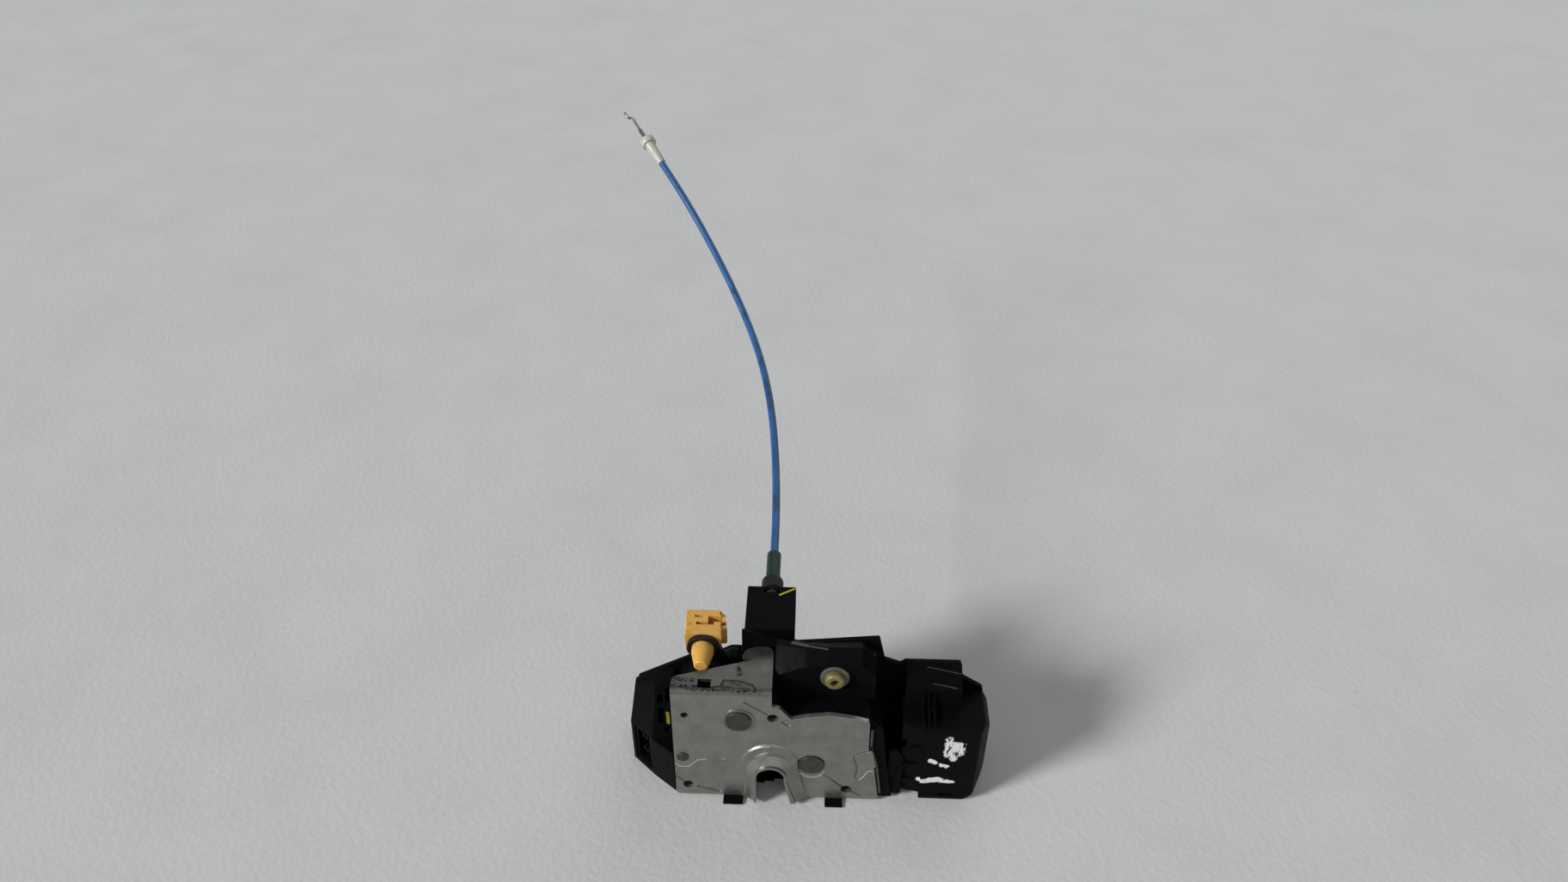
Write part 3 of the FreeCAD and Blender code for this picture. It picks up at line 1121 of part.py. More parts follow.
def rear_cover():
    """Lid of the tray with stiffening ribs, a bearing collar for the key spindle and screw holes."""
    low = HOUSING_DEPTH + SEAL_THICK
    high = low + REAR_COVER_SHEET
    lid = slab("front", low, high, rear_corners(0.0))
    collar = rod(KEY_AT, low, high + 4.0, KEY_RADIUS + 2.2)
    ribs = [box(x, x + 1.4, high - 0.5, high + 1.4, FLOOR + 6, 10.0) for x in (-18.0, 2.0, 34.0, 54.0, 72.0)]
    bosses = [rod(at, high - 0.5, high + 0.8, 4.2) for at in SCREW_POINTS]
    stops = [rod(at, HOUSING_DEPTH, low + 0.5, 3.2) for at in SCREW_POINTS]
    body = lid.multiFuse([collar] + ribs + bosses + stops)
    cuts = [rod(at, HOUSING_DEPTH - 1, high + 2, 1.6) for at in SCREW_POINTS]
    cuts.append(rod(KEY_AT, HOUSING_DEPTH - 1, high + 6, KEY_RADIUS + RUNNING))
    return body.cut(Part.makeCompound(cuts)).removeSplitter()


def cover_screws():
    """Pan-head screws through the rear cover, one solid each."""
    top = HOUSING_DEPTH + SEAL_THICK + REAR_COVER_SHEET + 0.8
    screws = []
    for at in SCREW_POINTS:
        head = rod(at, top, top + 2.0, 3.0)
        shank = rod(at, HOUSING_DEPTH - 7.0, top, 1.3)
        recess = box(at[0] - 0.5, at[0] + 0.5, top + 1.0, top + 3.0, at[1] - 1.8, at[1] + 1.8)
        cross = box(at[0] - 1.8, at[0] + 1.8, top + 1.0, top + 3.0, at[1] - 0.5, at[1] + 0.5)
        screws.append(joined(head, shank).cut(recess.fuse(cross)))
    return Part.makeCompound(screws)


def key_spindle():
    """Slotted spindle turned by the key cylinder's tail, with the cam lever inside."""
    low = HOUSING_DEPTH - 6.0
    high = HOUSING_DEPTH + SEAL_THICK + REAR_COVER_SHEET + 3.4
    body = joined(rod(KEY_AT, low + 2.0, high, KEY_RADIUS), rod(KEY_AT, low, low + 4.0, KEY_RADIUS + 1.6))
    x, z = KEY_AT
    cam = slab("front", low, low + 3.0, [(x - 4.0, z), (x - 2.2, z + 12.0, 2.0), (x + 2.2, z + 12.0, 2.0),
                                         (x + 4.0, z)])
    wide, tall = KEY_SLOT
    slot = box(x - wide / 2, x + wide / 2, high - 6.0, high + 1, z - tall / 2, z + tall / 2)
    return joined(body, cam).cut(slot)


def contact_carrier():
    """Moulded contact board in the tray, with the stamped tracks' ribs."""
    back = HOUSING_FRONT + HOUSING_WALL
    board = slab("front", back, back + 2.4, [(-20.0, -16.0, 2.0), (-20.0, 14.0, 2.0), (40.0, 14.0, 2.0),
                                             (40.0, -16.0, 2.0)])
    tracks = [box(-17.0, 36.0, back + 2.0, back + 3.2, z, z + 1.6) for z in (-12.0, -7.0, -2.0, 3.0, 8.0)]
    board = board.multiFuse(tracks)
    return board.cut(rod(SCREW_POINTS[5], back - 1, back + 5, 3.4)).removeSplitter()


def position_switches():
    """Two small switches on the contact carrier, with their plungers."""
    back = HOUSING_FRONT + HOUSING_WALL + 3.2
    switches = []
    for x in (-12.0, 12.0):
        body = box(x, x + 8.3, back, back + 5.0, -4.0, 2.3)
        plunger = box(x + 5.0, x + 7.0, back + 1.5, back + 3.5, 2.0, 3.4)
        switches.append(joined(body, plunger))
    return Part.makeCompound(switches)


PIECES = [
    latch_plate, claw_rivet, pawl_rivet, locating_stud, latch_case, striker_buffer, backing_plate, claw_core,
    claw_jacket, claw_spring, pawl_core, pawl_spring, lever_cover, lever_rivet, rivet_washer, outside_lever,
    lever_spring, rod_clip, clip_arm, main_housing, connector_housing, connector_pins, drive_case, motor_can,
    motor_end_cap, motor_pinion, lock_wheel, wheel_axle, locking_lever, lever_post, cable_bracket,
    cable_grommet, cable_ferrule, cable_sheath, cable_end_sleeve, cable_end_fitting, inner_wire, inside_lever,
    inside_lever_pin, cover_seal, rear_cover, cover_screws, key_spindle, contact_carrier, position_switches]


def main():
    os.makedirs("parts", exist_ok=True)
    for build in PIECES:
        shape = build()
        print("%-20s solids %d volume %.0f valid %s" % (build.__name__, len(shape.Solids), shape.Volume,
                                                       shape.isValid()))
        shape.exportStep("parts/%s.step" % build.__name__)


main()
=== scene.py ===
"""Dresses the car door lock: pressed steel, moulded housings, amber rod clip, release cable and stage."""

import json
import math

import bmesh
import bpy
from mathutils import Matrix, Vector

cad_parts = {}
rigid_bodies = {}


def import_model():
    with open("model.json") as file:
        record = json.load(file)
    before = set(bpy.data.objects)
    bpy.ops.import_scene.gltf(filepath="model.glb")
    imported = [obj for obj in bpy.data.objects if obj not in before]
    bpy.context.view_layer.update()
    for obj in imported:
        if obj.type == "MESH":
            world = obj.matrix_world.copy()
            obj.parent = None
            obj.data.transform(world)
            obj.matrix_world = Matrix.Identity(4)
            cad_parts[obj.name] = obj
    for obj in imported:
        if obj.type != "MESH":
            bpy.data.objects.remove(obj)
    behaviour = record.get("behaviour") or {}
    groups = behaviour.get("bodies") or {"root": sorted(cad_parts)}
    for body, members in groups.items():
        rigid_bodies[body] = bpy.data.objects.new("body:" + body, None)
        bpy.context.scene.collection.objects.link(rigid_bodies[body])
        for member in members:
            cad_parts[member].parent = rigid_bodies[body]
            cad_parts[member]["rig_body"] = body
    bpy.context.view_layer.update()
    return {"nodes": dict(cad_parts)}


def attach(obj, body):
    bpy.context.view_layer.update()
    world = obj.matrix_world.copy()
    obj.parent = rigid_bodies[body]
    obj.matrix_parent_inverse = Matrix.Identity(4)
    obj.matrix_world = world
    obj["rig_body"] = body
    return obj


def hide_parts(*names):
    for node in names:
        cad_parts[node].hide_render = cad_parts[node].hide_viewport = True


bl_info = {
    "name": "Car door lock dressing",
    "version": (1, 0, 0),
    "blender": (4, 5, 0),
    "location": "3D View > Sidebar > Door lock",
    "description": "Builds the finishes and the detailed pieces of a car door lock on its packed frame",
    "category": "Object",
}

MM = 0.001

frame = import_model()

# Places on the lock, in millimetres of the frame: X along the plate, Y into the lock, Z up
PAWL_RIVET = (-13.8, 34.0)
CLAW_RIVET = (18.4, 5.1)
STUD = (-39.2, 8.0)
THREADED_HOLES = [(1.2, 36.1), (-37.4, -12.1), (34.5, -12.2)]
THREAD_RADIUS = 2.5
THREAD_DEPTH = 6.0
THREAD_START = 0.4
THREAD_RIDGE = 0.3
THREAD_STEPS = 28
THREAD_SIDES = 4

# Drawing planes of the masks: one for each coordinate that counts
FRONT = (1, 0, 1)
TOP = (1, 1, 0)

# The sheath's route, from the end of the ferrule to the start of the sleeve
CABLE_ROUTE = [
    (-1.4, 80.0, 58.2), (-1.4, 104.0, 58.2), (-3.0, 142.0, 63.8), (-6.8, 178.0, 72.0),
    (-13.5, 209.0, 80.5), (-23.5, 236.0, 91.0), (-36.8, 263.0, 104.0), (-51.5, 289.0, 117.0),
    (-66.0, 311.0, 130.0), (-78.6, 329.5, 139.0)]
SHEATH_DIAMETER = 3.9
SHEATH_STEPS = 16
SHEATH_ROUNDNESS = 6

# The sleeve's outline: millimetres from the sheath's end, radius; the last two are its bore
SLEEVE_SIDES = 32
SLEEVE_PROFILE = [
    (0.0, 2.15), (0.6, 2.5), (8.0, 2.75), (15.6, 3.1), (16.0, 3.3), (16.2, 4.2), (16.8, 4.5), (20.0, 4.5),
    (20.6, 4.1), (20.6, 1.6), (13.0, 1.5), (0.0, 1.5)]
SLEEVE_SHARP_ANGLE = math.radians(35)

# The hook's stations: millimetres beyond the sheath, to the side, radius
HOOK_STATIONS = [
    (2.5, 0.0, 1.25), (29.0, 0.0, 1.25), (29.8, 0.0, 0.75), (31.0, 0.0, 0.85), (38.8, 0.0, 0.85),
    (40.0, -0.4, 0.8), (40.6, -1.8, 0.8), (41.6, -2.4, 0.8), (45.4, -2.5, 0.75)]
HOOK_ROUNDNESS = 4

# The wall between the latch case and the drive case: outline in the front plane, then its depths
SIDE_WALL = [
    ([(53.0, -17.8), (59.6, -17.8), (59.6, 8.0), (57.0, 12.0), (53.0, 12.0)], 3.4, 5.6),
    ([(55.6, -17.8), (59.6, -17.8), (59.6, 2.0), (56.6, -1.0)], 2.6, 3.8),
    ([(60.6, 12.6), (67.6, 12.6), (67.6, 18.6), (60.6, 18.6)], 4.3, 5.2)]

# Black blocks below the claw, stepped in depth, that put painted shade in the view through the slot, set out
# in the same way
SLOT_SHADE_BLOCKS = [
    ([(-6.8, -18.4), (6.8, -18.4), (6.8, -12.2), (-6.8, -12.2)], 12.5, 13.8),
    ([(-6.8, -18.4), (-2.6, -18.4), (-2.6, -17.4), (-6.8, -17.4)], 6.6, 14.4),
    ([(-2.6, -18.4), (1.6, -18.4), (1.6, -17.4), (-2.6, -17.4)], 7.6, 14.4),
    ([(1.6, -18.4), (6.8, -18.4), (6.8, -17.4), (1.6, -17.4)], 9.0, 14.4)]

# Pressed lines of the plate, drawn as bump and as painted shade, in the front plane: start, end, half width
GROOVES = [
    ((-10.9, 45.6), (-0.7, 37.8), 0.9), ((-42.7, -6.6), (-37.0, -12.1), 1.1),
    ((20.9, 1.6), (31.5, -9.8), 0.8), ((31.5, -9.8), (41.0, -17.0), 1.1)]

# Steps of the plate, as lines of points in the front plane
STEP_LINE = [(-36.4, 20.2), (-30.9, 15.0), (-25.3, 11.7), (-19.6, 7.1)]
# The tab's line is pressed like the lines above, with painted shade
TAB_LINE = [
    (45.2, 15.9), (38.9, 13.4), (37.2, 11.5), (38.9, 3.4), (38.4, -4.1), (40.0, -4.9), (43.6, 1.1)]

# Yellow film beside the claw's rivet
FILM_SPOT = (13.6, 5.1)

# Heights at which the flange begins and is whole, in metres
FLANGE_LEVELS = (49.5 * MM, 51.0 * MM)

# Grease on the flange, in the plan: start, end, half width
GREASE = [
    ((-28.9, 1.6), (-21.3, 3.3), 0.7), ((-21.3, 3.3), (-19.8, 6.5), 0.85), ((-19.8, 6.5), (-13.6, 6.3), 0.75),
    ((-13.6, 6.3), (-7.6, 4.2), 0.85), ((-7.6, 4.2), (-6.3, 1.7), 0.7), ((-21.3, 3.3), (-17.3, 2.6), 0.8),
    ((-17.3, 2.6), (-9.0, 2.2), 0.5), ((-17.5, 6.1), (-13.0, 3.6), 0.6)]
STAIN = [((-18.0, 4.6), (-8.0, 3.4), 2.0)]
SMUDGES = [
    ((-42.1, 6.4), (-33.2, 6.0), 1.9), ((-42.2, 3.4), (-32.4, 2.2), 2.0), ((-14.4, 17.5), (-13.4, 9.8), 1.7),
    ((-30.0, 1.4), (-4.0, 1.2), 1.3)]

# Painted highlights along steps and rims of the plate, as lines of points in the front plane
PAINTED_HIGHLIGHT_PATHS = [
    [(-42.6, 2.6), (-40.6, 0.9), (-36.8, 1.0), (-34.4, 3.8), (-32.6, 5.9), (-29.0, 6.5)],
    [(13.2, -1.0), (15.6, -3.3), (19.4, -4.3), (22.6, -2.6), (24.1, 0.4)],
    [(40.2, -4.7), (42.0, -2.6), (43.4, 1.0), (46.0, 1.9)], [(-21.2, 7.0), (-20.6, 7.2)],
    [(-9.2, 13.9), (-7.2, 15.5), (-4.5, 16.9), (-0.5, 17.5)], [(-6.4, 10.4), (-4.4, 12.0), (-1.4, 13.3)]]

# White smears on the drive case, in the front plane: start, end, half width
UPRIGHT_SMEARS = [
    ((78.9, 24.0), (78.6, 13.0), 2.0), ((82.0, 20.0), (81.4, 10.4), 2.3), ((85.0, 20.4), (84.4, 14.0), 1.8)]
LEVEL_SMEARS = [
    ((67.4, -6.8), (71.0, -6.2), 1.7), ((72.0, -5.4), (76.6, -5.0), 2.1), ((77.6, -6.0), (82.0, -6.2), 1.5)]
DABS = [((71.6, 8.4), (73.4, 7.2), 1.5), ((76.4, 5.6), (79.0, 4.8), 1.3)]

# Yellow dab beside the plate, in the front plane, and yellow dash on the bracket, in the plan
YELLOW_DAB_STROKES = [((-46.9, 20.6), (-46.6, 15.2), 0.9)]
YELLOW_DASH_STROKES = [((2.4, 49.2), (9.2, 53.4), 0.55)]

# How the smears are streaked: their table, the stretch of the streaks, the level of their gaps
STREAKS = [(UPRIGHT_SMEARS, (1.0, 1.0, 0.3), 0.37), (LEVEL_SMEARS, (0.3, 1.0, 1.0), 0.28)]

# Painted highlight lines on the drive case's hood and along the ridge of the lever's cover, in the plan
HOOD_HIGHLIGHT_LINES = [((68.8, 24.2), (83.4, 21.7), 0.32), ((71.0, 17.3), (81.3, 15.8), 0.32)]
RIDGE_HIGHLIGHT_STROKES = [((8.8, 22.3), (15.6, 19.8), 0.8), ((15.6, 19.8), (24.0, 17.8), 0.6)]

# The photograph's camera: the slot's middle falls on this pixel, at this scale
PICTURE = (1824, 1026)
PICTURE_MIDDLE = (912, 513)
FOCAL_PIXELS = 1400.0
SENSOR_WIDTH = 36.0
SLOT_PIXEL = (896, 896)
PIXELS_PER_METRE = 2580.0
CAMERA_YAW = math.radians(-1.7)
CAMERA_PITCH = math.radians(38.0)
CAMERA_ROLL = math.radians(0.4)
NEAREST_SEEN = 0.01
FLOOR_LEVEL = -20.5
WORLD_COLOUR = (0.80, 0.82, 0.86, 1.0)
WORLD_STRENGTH = 0.34

# Lamps: name, share of the main lamp's strength, spread in degrees, place that it shines from
LAMPS = [
    ("window_lamp", 1.0, 15.0, (-2.3, -1.25, 1.4)), ("front_fill", 0.1, 60.0, (0.7, -2.0, 0.9)),
    ("back_fill", 0.16, 60.0, (0.9, 2.2, 1.3))]

# Meshes: what counts as one corner, as a flat face and as a sharp edge, and how a bevel is made
SAME_CORNER = 2e-6
FLAT_ANGLE = math.radians(0.3)
SHARP_ANGLE = math.radians(32)
BEVEL_SEGMENTS = 2

# Masks: scale of the noise that makes strokes ragged, and the blur of a mask's levels in millimetres
RAGGED_SCALE = 700.0
LEVEL_BLUR = 0.2

# Depths and heights between which marks are seen, in millimetres
DAB_DEPTHS = (4.0, 14.0)
SMEAR_DEPTHS = (-20.0, 9.0)
RIDGE_HEIGHTS = (57.0, 66.0)
HOOD_HEIGHTS = (40.0, 50.0)

# Shades of the plate's places, as shares of the steel's own colour: random patches and specks, painted shade
# in the pressed lines, painted highlights along lines, and painted shade on the flange
PATCH_SHADE = 0.77
SPECK_SHADE = 0.35
PRESSED_PAINTED_SHADE = 0.25
PAINTED_HIGHLIGHT_SHARE = 2.6
FLANGE_PAINTED_SHADE = 0.3

# Size of the light's way into amber and nylon, in metres
LIGHT_REACH = 0.003

# Colours of marks and patches, and of painted highlights
YELLOW_DAB = (0.24, 0.22, 0.02)
YELLOW_DASH = (0.38, 0.36, 0.03)
YELLOW_FILM = (0.17, 0.15, 0.04)
RIDGE_HIGHLIGHT_GREY = (0.05, 0.052, 0.056)
HOOD_HIGHLIGHT_GREY = (0.03, 0.031, 0.033)
BROWN_AMBER = (0.30, 0.125, 0.018)
BLACK_SPECULAR = 0.03

# Plain steels: colour, roughness, share of metal
STEELS = {
    "wing_steel": ((0.14, 0.142, 0.135), 0.42, 0.8),
    "dark_steel": ((0.03, 0.029, 0.028), 0.42, 0.8),
    "rivet_steel": ((0.060, 0.062, 0.051), 0.5, 0.6),
    "spring_wire": ((0.22, 0.22, 0.215), 0.32, 0.8),
    "tinned_brass": ((0.035, 0.03, 0.02), 0.45, 0.8),
    "yellow_zinc": ((0.20, 0.175, 0.06), 0.5, 0.35),
    "washer_steel": ((0.16, 0.16, 0.13), 0.45, 0.6),
}

# Relief of the plate's finish: its grain in millimetres, then its lines measured in grains
PLATE_GRAIN = 0.03
PRESSED_DEPTH = 12.0
RAISED_HEIGHT = 5.0

# Moulded pieces with softened edges: node, width of the edge in millimetres, finish
MOULDED = {
    "latch_case": (0.4, "black_moulding"),
    "lever_cover": (0.5, "black_moulding"),
    "main_housing": (0.5, "black_moulding"),
    "connector_housing": (0.5, "black_moulding"),
    "drive_case": (0.6, "drive_moulding"),
    "cable_bracket": (0.5, "bracket_moulding"),
    "rear_cover": (0.4, "black_moulding"),
    "rod_clip": (0.45, "amber_moulding"),
    "clip_arm": (0.35, "amber_moulding"),
    "cable_grommet": (0.3, "brown_rubber"),
    "cable_ferrule": (0.25, "green_moulding"),
}

# Steel pieces with softened edges, in the same way
STEEL = {
    "latch_plate": (0.35, "plate_steel"),
    "backing_plate": (0.25, "wing_steel"),
    "claw_core": (0.25, "dark_steel"),
    "pawl_core": (0.2, "dark_steel"),
    "outside_lever": (0.25, "dark_steel"),
    "inside_lever": (0.3, "dark_steel"),
    "key_spindle": (0.25, "dark_steel"),
    "claw_rivet": (0.25, "rivet_steel"),
    "pawl_rivet": (0.25, "rivet_steel"),
    "locating_stud": (0.25, "rivet_steel"),
    "rivet_washer": (0.2, "washer_steel"),
    "lever_rivet": (0.2, "yellow_zinc"),
}

# Small pieces that keep the solid's mesh: node, finish
PLAIN = {
    "claw_jacket": "black_moulding",
    "striker_buffer": "brown_rubber",
    "cover_seal": "brown_rubber",
    "contact_carrier": "black_moulding",
    "position_switches": "black_moulding",
    "motor_end_cap": "black_moulding",
    "connector_pins": "tinned_brass",
    "motor_can": "rivet_steel",
    "motor_pinion": "milky_nylon",
    "lock_wheel": "milky_nylon",
    "locking_lever": "milky_nylon",
    "lever_post": "milky_nylon",
    "wheel_axle": "rivet_steel",
    "claw_spring": "spring_wire",
    "pawl_spring": "spring_wire",
    "lever_spring": "spring_wire",
    "inner_wire": "spring_wire",
    "inside_lever_pin": "rivet_steel",
    "cover_screws": "rivet_steel",
}


class PlateSettings(bpy.types.PropertyGroup):
    steel: bpy.props.FloatVectorProperty(
        name="Steel", description="Colour of the plated sheet", subtype="COLOR", default=(0.27, 0.272, 0.245))
    grease: bpy.props.FloatVectorProperty(
        name="Grease", description="Colour of the grease left on the flange", subtype="COLOR",
        default=(0.012, 0.012, 0.011))
    turns: bpy.props.IntProperty(
        name="Turns", description="Turns of thread shown in each screw hole", default=5, min=1, max=12)


class MouldingSettings(bpy.types.PropertyGroup):
    black: bpy.props.FloatVectorProperty(
        name="Black", description="Colour of the black mouldings", subtype="COLOR",
        default=(0.0027, 0.0029, 0.0033))
    amber: bpy.props.FloatVectorProperty(
        name="Amber", description="Colour of the rod clip", subtype="COLOR", default=(0.56, 0.31, 0.062))
    paint: bpy.props.FloatVectorProperty(
        name="Paint", description="Colour of the paint smears", subtype="COLOR", default=(0.62, 0.63, 0.62))


class CableSettings(bpy.types.PropertyGroup):
    sheath: bpy.props.FloatVectorProperty(
        name="Sheath", description="Colour of the cable's sheath", subtype="COLOR",
        default=(0.010, 0.075, 0.215))


class StageSettings(bpy.types.PropertyGroup):
    floor: bpy.props.FloatVectorProperty(
        name="Floor", description="Colour of the floor", subtype="COLOR", default=(0.50, 0.505, 0.50))
    reach: bpy.props.FloatProperty(
        name="Reach", description="Width of the floor", unit="LENGTH", default=6.0)
    lamp: bpy.props.FloatProperty(
        name="Lamp", description="Strength of the main lamp", default=3.7, min=0.0)


class LockSettings(bpy.types.PropertyGroup):
    plate: bpy.props.PointerProperty(type=PlateSettings)
    moulding: bpy.props.PointerProperty(type=MouldingSettings)
    cable: bpy.props.PointerProperty(type=CableSettings)
    stage: bpy.props.PointerProperty(type=StageSettings)


def settings():
    """The lock's settings in the scene."""
    return bpy.context.scene.door_lock


def metres(point):
    """A place given in millimetres, in metres."""
    return tuple(MM * value for value in point)


def in_space(spot, plane):
    """A point of a drawing plane as a place in space."""
    return (spot[0], 0.0, spot[1]) if plane == FRONT else (spot[0], spot[1], 0.0)


# Node trees

def place(tree, kind, **values):
    """A new node with its properties set."""
    node = tree.nodes.new(kind)
    for key, value in values.items():
        setattr(node, key, value)
    return node


def feed(tree, source, target):
    """Joins a socket, or sets a plain value, on another node's input."""
    if isinstance(source, bpy.types.NodeSocket):
        tree.links.new(source, target)
    else:
        target.default_value = source


def reckon(tree, operation, *terms):
    """One sum on plain values."""
    node = place(tree, "ShaderNodeMath", operation=operation)
    for term, socket in zip(terms, node.inputs):
        feed(tree, term, socket)
    return node.outputs[0]


def product(tree, *terms):
    """Masks and plain shares multiplied together."""
    result = terms[0]
    for term in terms[1:]:
        result = reckon(tree, "MULTIPLY", result, term)
    return result


def arrow(tree, operation, *terms):
    """One sum on vectors."""
    node = place(tree, "ShaderNodeVectorMath", operation=operation)
    for term, socket in zip(terms, node.inputs):
        feed(tree, term, socket)
    return node.outputs[1] if operation in ("LENGTH", "DOT_PRODUCT", "DISTANCE") else node.outputs[0]


def ramp(tree, value, low, high, first=0.0, last=1.0):
    """Maps a value smoothly from one range to another, clamped."""
    node = place(tree, "ShaderNodeMapRange", interpolation_type="SMOOTHSTEP")
    names = ("Value", "From Min", "From Max", "To Min", "To Max")
    for term, name in zip((value, low, high, first, last), names):
        feed(tree, term, node.inputs[name])
    return node.outputs["Result"]


def tint(tree, factor, first, second):
    """Mixes two colours."""
    node = place(tree, "ShaderNodeMix", data_type="RGBA")
    for term, name in ((factor, "Factor_Float"), (first, "A_Color"), (second, "B_Color")):
        socket = next(s for s in node.inputs if s.identifier == name)
        if not isinstance(term, (float, bpy.types.NodeSocket)):
            term = tuple(term)[:3] + (1.0,)
        feed(tree, term, socket)
    return next(s for s in node.outputs if s.identifier == "Result_Color")


def shaded(colour, share):
    """A colour made darker, or brighter where the share is over one."""
    return tuple(share * value for value in colour)


def shade_group(name, inputs, outputs):
    """A new shader group with its sockets, and its input and output nodes."""
    tree = bpy.data.node_groups.new(name, "ShaderNodeTree")
    for label, kind, default in inputs:
        socket = tree.interface.new_socket(label, in_out="INPUT", socket_type=kind)
        socket.default_value = default
    for label in outputs:
        tree.interface.new_socket(label, in_out="OUTPUT", socket_type="NodeSocketFloat")
    return tree, tree.nodes.new("NodeGroupInput").outputs, tree.nodes.new("NodeGroupOutput").inputs


def noise(tree, where, scale, detail, roughness=0.5):
    """The value of a noise, from nought to one."""
    node = place(tree, "ShaderNodeTexNoise")
    names = ("Vector", "Scale", "Detail", "Roughness")
    for term, name in zip((where, scale, detail, roughness), names):
        feed(tree, term, node.inputs[name])
    return node.outputs["Fac"]


def cloud_group():
    """Soft patches, from a noise cut between two levels."""
    tree, given, result = shade_group(
        "soft_patches",
        [("Position", "NodeSocketVector", (0, 0, 0)), ("Size", "NodeSocketFloat", 20.0),
         ("Low", "NodeSocketFloat", 0.4), ("High", "NodeSocketFloat", 0.6)], ["Mask"])
    scale = reckon(tree, "DIVIDE", 1.0 / MM, given["Size"])
    cloud = noise(tree, given["Position"], scale, 4.0, 0.6)
    tree.links.new(ramp(tree, cloud, given["Low"], given["High"]), result["Mask"])
    return tree


def stroke_group():
    """A ragged stroke between two points of one drawing plane."""
    tree, given, result = shade_group(
        "ragged_stroke",
        [("Position", "NodeSocketVector", (0, 0, 0)), ("Plane", "NodeSocketVector", (1, 0, 1)),
         ("Start", "NodeSocketVector", (0, 0, 0)), ("End", "NodeSocketVector", (0, 0, 0)),
         ("Width", "NodeSocketFloat", 0.001), ("Edge", "NodeSocketFloat", 0.0003),
         ("Ragged", "NodeSocketFloat", 0.0)], ["Mask"])
    flat = arrow(tree, "MULTIPLY", given["Position"], given["Plane"])
    along = arrow(tree, "SUBTRACT", given["End"], given["Start"])
    offset = arrow(tree, "SUBTRACT", flat, given["Start"])
    share = reckon(tree, "DIVIDE", arrow(tree, "DOT_PRODUCT", offset, along),
                   arrow(tree, "DOT_PRODUCT", along, along))
    held = place(tree, "ShaderNodeClamp")
    tree.links.new(share, held.inputs["Value"])
    scaled = place(tree, "ShaderNodeVectorMath", operation="SCALE")
    tree.links.new(along, scaled.inputs[0])
    tree.links.new(held.outputs[0], scaled.inputs["Scale"])
    distance = arrow(tree, "DISTANCE", offset, scaled.outputs[0])
    swing = reckon(tree, "SUBTRACT", noise(tree, given["Position"], RAGGED_SCALE, 3.0), 0.5)
    distance = reckon(tree, "ADD", distance, product(tree, swing, given["Ragged"]))
    inner = reckon(tree, "SUBTRACT", given["Width"], given["Edge"])
    tree.links.new(ramp(tree, distance, inner, given["Width"], 1.0, 0.0), result["Mask"])
    return tree


def ring_group():
    """A soft ring about a point of one drawing plane; radius nought makes a disc."""
    tree, given, result = shade_group(
        "soft_ring",
        [("Position", "NodeSocketVector", (0, 0, 0)), ("Plane", "NodeSocketVector", (1, 0, 1)),
         ("Centre", "NodeSocketVector", (0, 0, 0)), ("Radius", "NodeSocketFloat", 0.005),
         ("Width", "NodeSocketFloat", 0.001)], ["Mask"])
    flat = arrow(tree, "MULTIPLY", given["Position"], given["Plane"])
    distance = arrow(tree, "DISTANCE", flat, given["Centre"])
    away = reckon(tree, "ABSOLUTE", reckon(tree, "SUBTRACT", distance, given["Radius"]))
    tree.links.new(ramp(tree, away, 0.0, given["Width"], 1.0, 0.0), result["Mask"])
    return tree


def grain_group():
    """Fine surface grain, stretched along one direction if asked."""
    tree, given, result = shade_group(
        "fine_grain",
        [("Position", "NodeSocketVector", (0, 0, 0)), ("Stretch", "NodeSocketVector", (1, 1, 1)),
         ("Size", "NodeSocketFloat", 0.5)], ["Height"])
    drawn = arrow(tree, "MULTIPLY", given["Position"], given["Stretch"])
    scale = reckon(tree, "DIVIDE", 1.0 / MM, given["Size"])
    tree.links.new(noise(tree, drawn, scale, 3.0), result["Height"])
    return tree


GROUPS = {}


def shared(maker):
    """The group that a maker builds, built once."""
    if maker not in GROUPS:
        GROUPS[maker] = maker()
    return GROUPS[maker]


def use_group(tree, maker, **values):
    """The output of a shared group placed in a tree with its own values."""
    node = place(tree, "ShaderNodeGroup", node_tree=shared(maker))
    for key, value in values.items():
        feed(tree, value, node.inputs[key])
    return node.outputs[0]


def patches(tree, position, size, low, high):
    """Soft patches of a size in millimetres, cut between two levels of the noise."""
    return use_group(tree, cloud_group, Position=position, Size=size, Low=low, High=high)


def stroke(tree, position, plane, start, end, width, edge, ragged):
    """A stroke with its places and sizes in millimetres."""
    return use_group(tree, stroke_group, Position=position, Plane=plane, Start=metres(start), End=metres(end),
                     Width=width * MM, Edge=edge * MM, Ragged=ragged * MM)


def ring(tree, position, centre, radius, width):
    """A ring of the front plane with its sizes in millimetres."""
    middle = metres(in_space(centre, FRONT))
    return use_group(tree, ring_group, Position=position, Plane=FRONT, Centre=middle,
                     Radius=radius * MM, Width=width * MM)


def grain(tree, position, size, stretch=(1, 1, 1)):
    """Fine grain of a size in millimetres."""
    return use_group(tree, grain_group, Position=position, Size=size, Stretch=stretch)


def highest(tree, masks):
    """The largest of several masks."""
    result = masks[0]
    for mask in masks[1:]:
        result = reckon(tree, "MAXIMUM", result, mask)
    return result


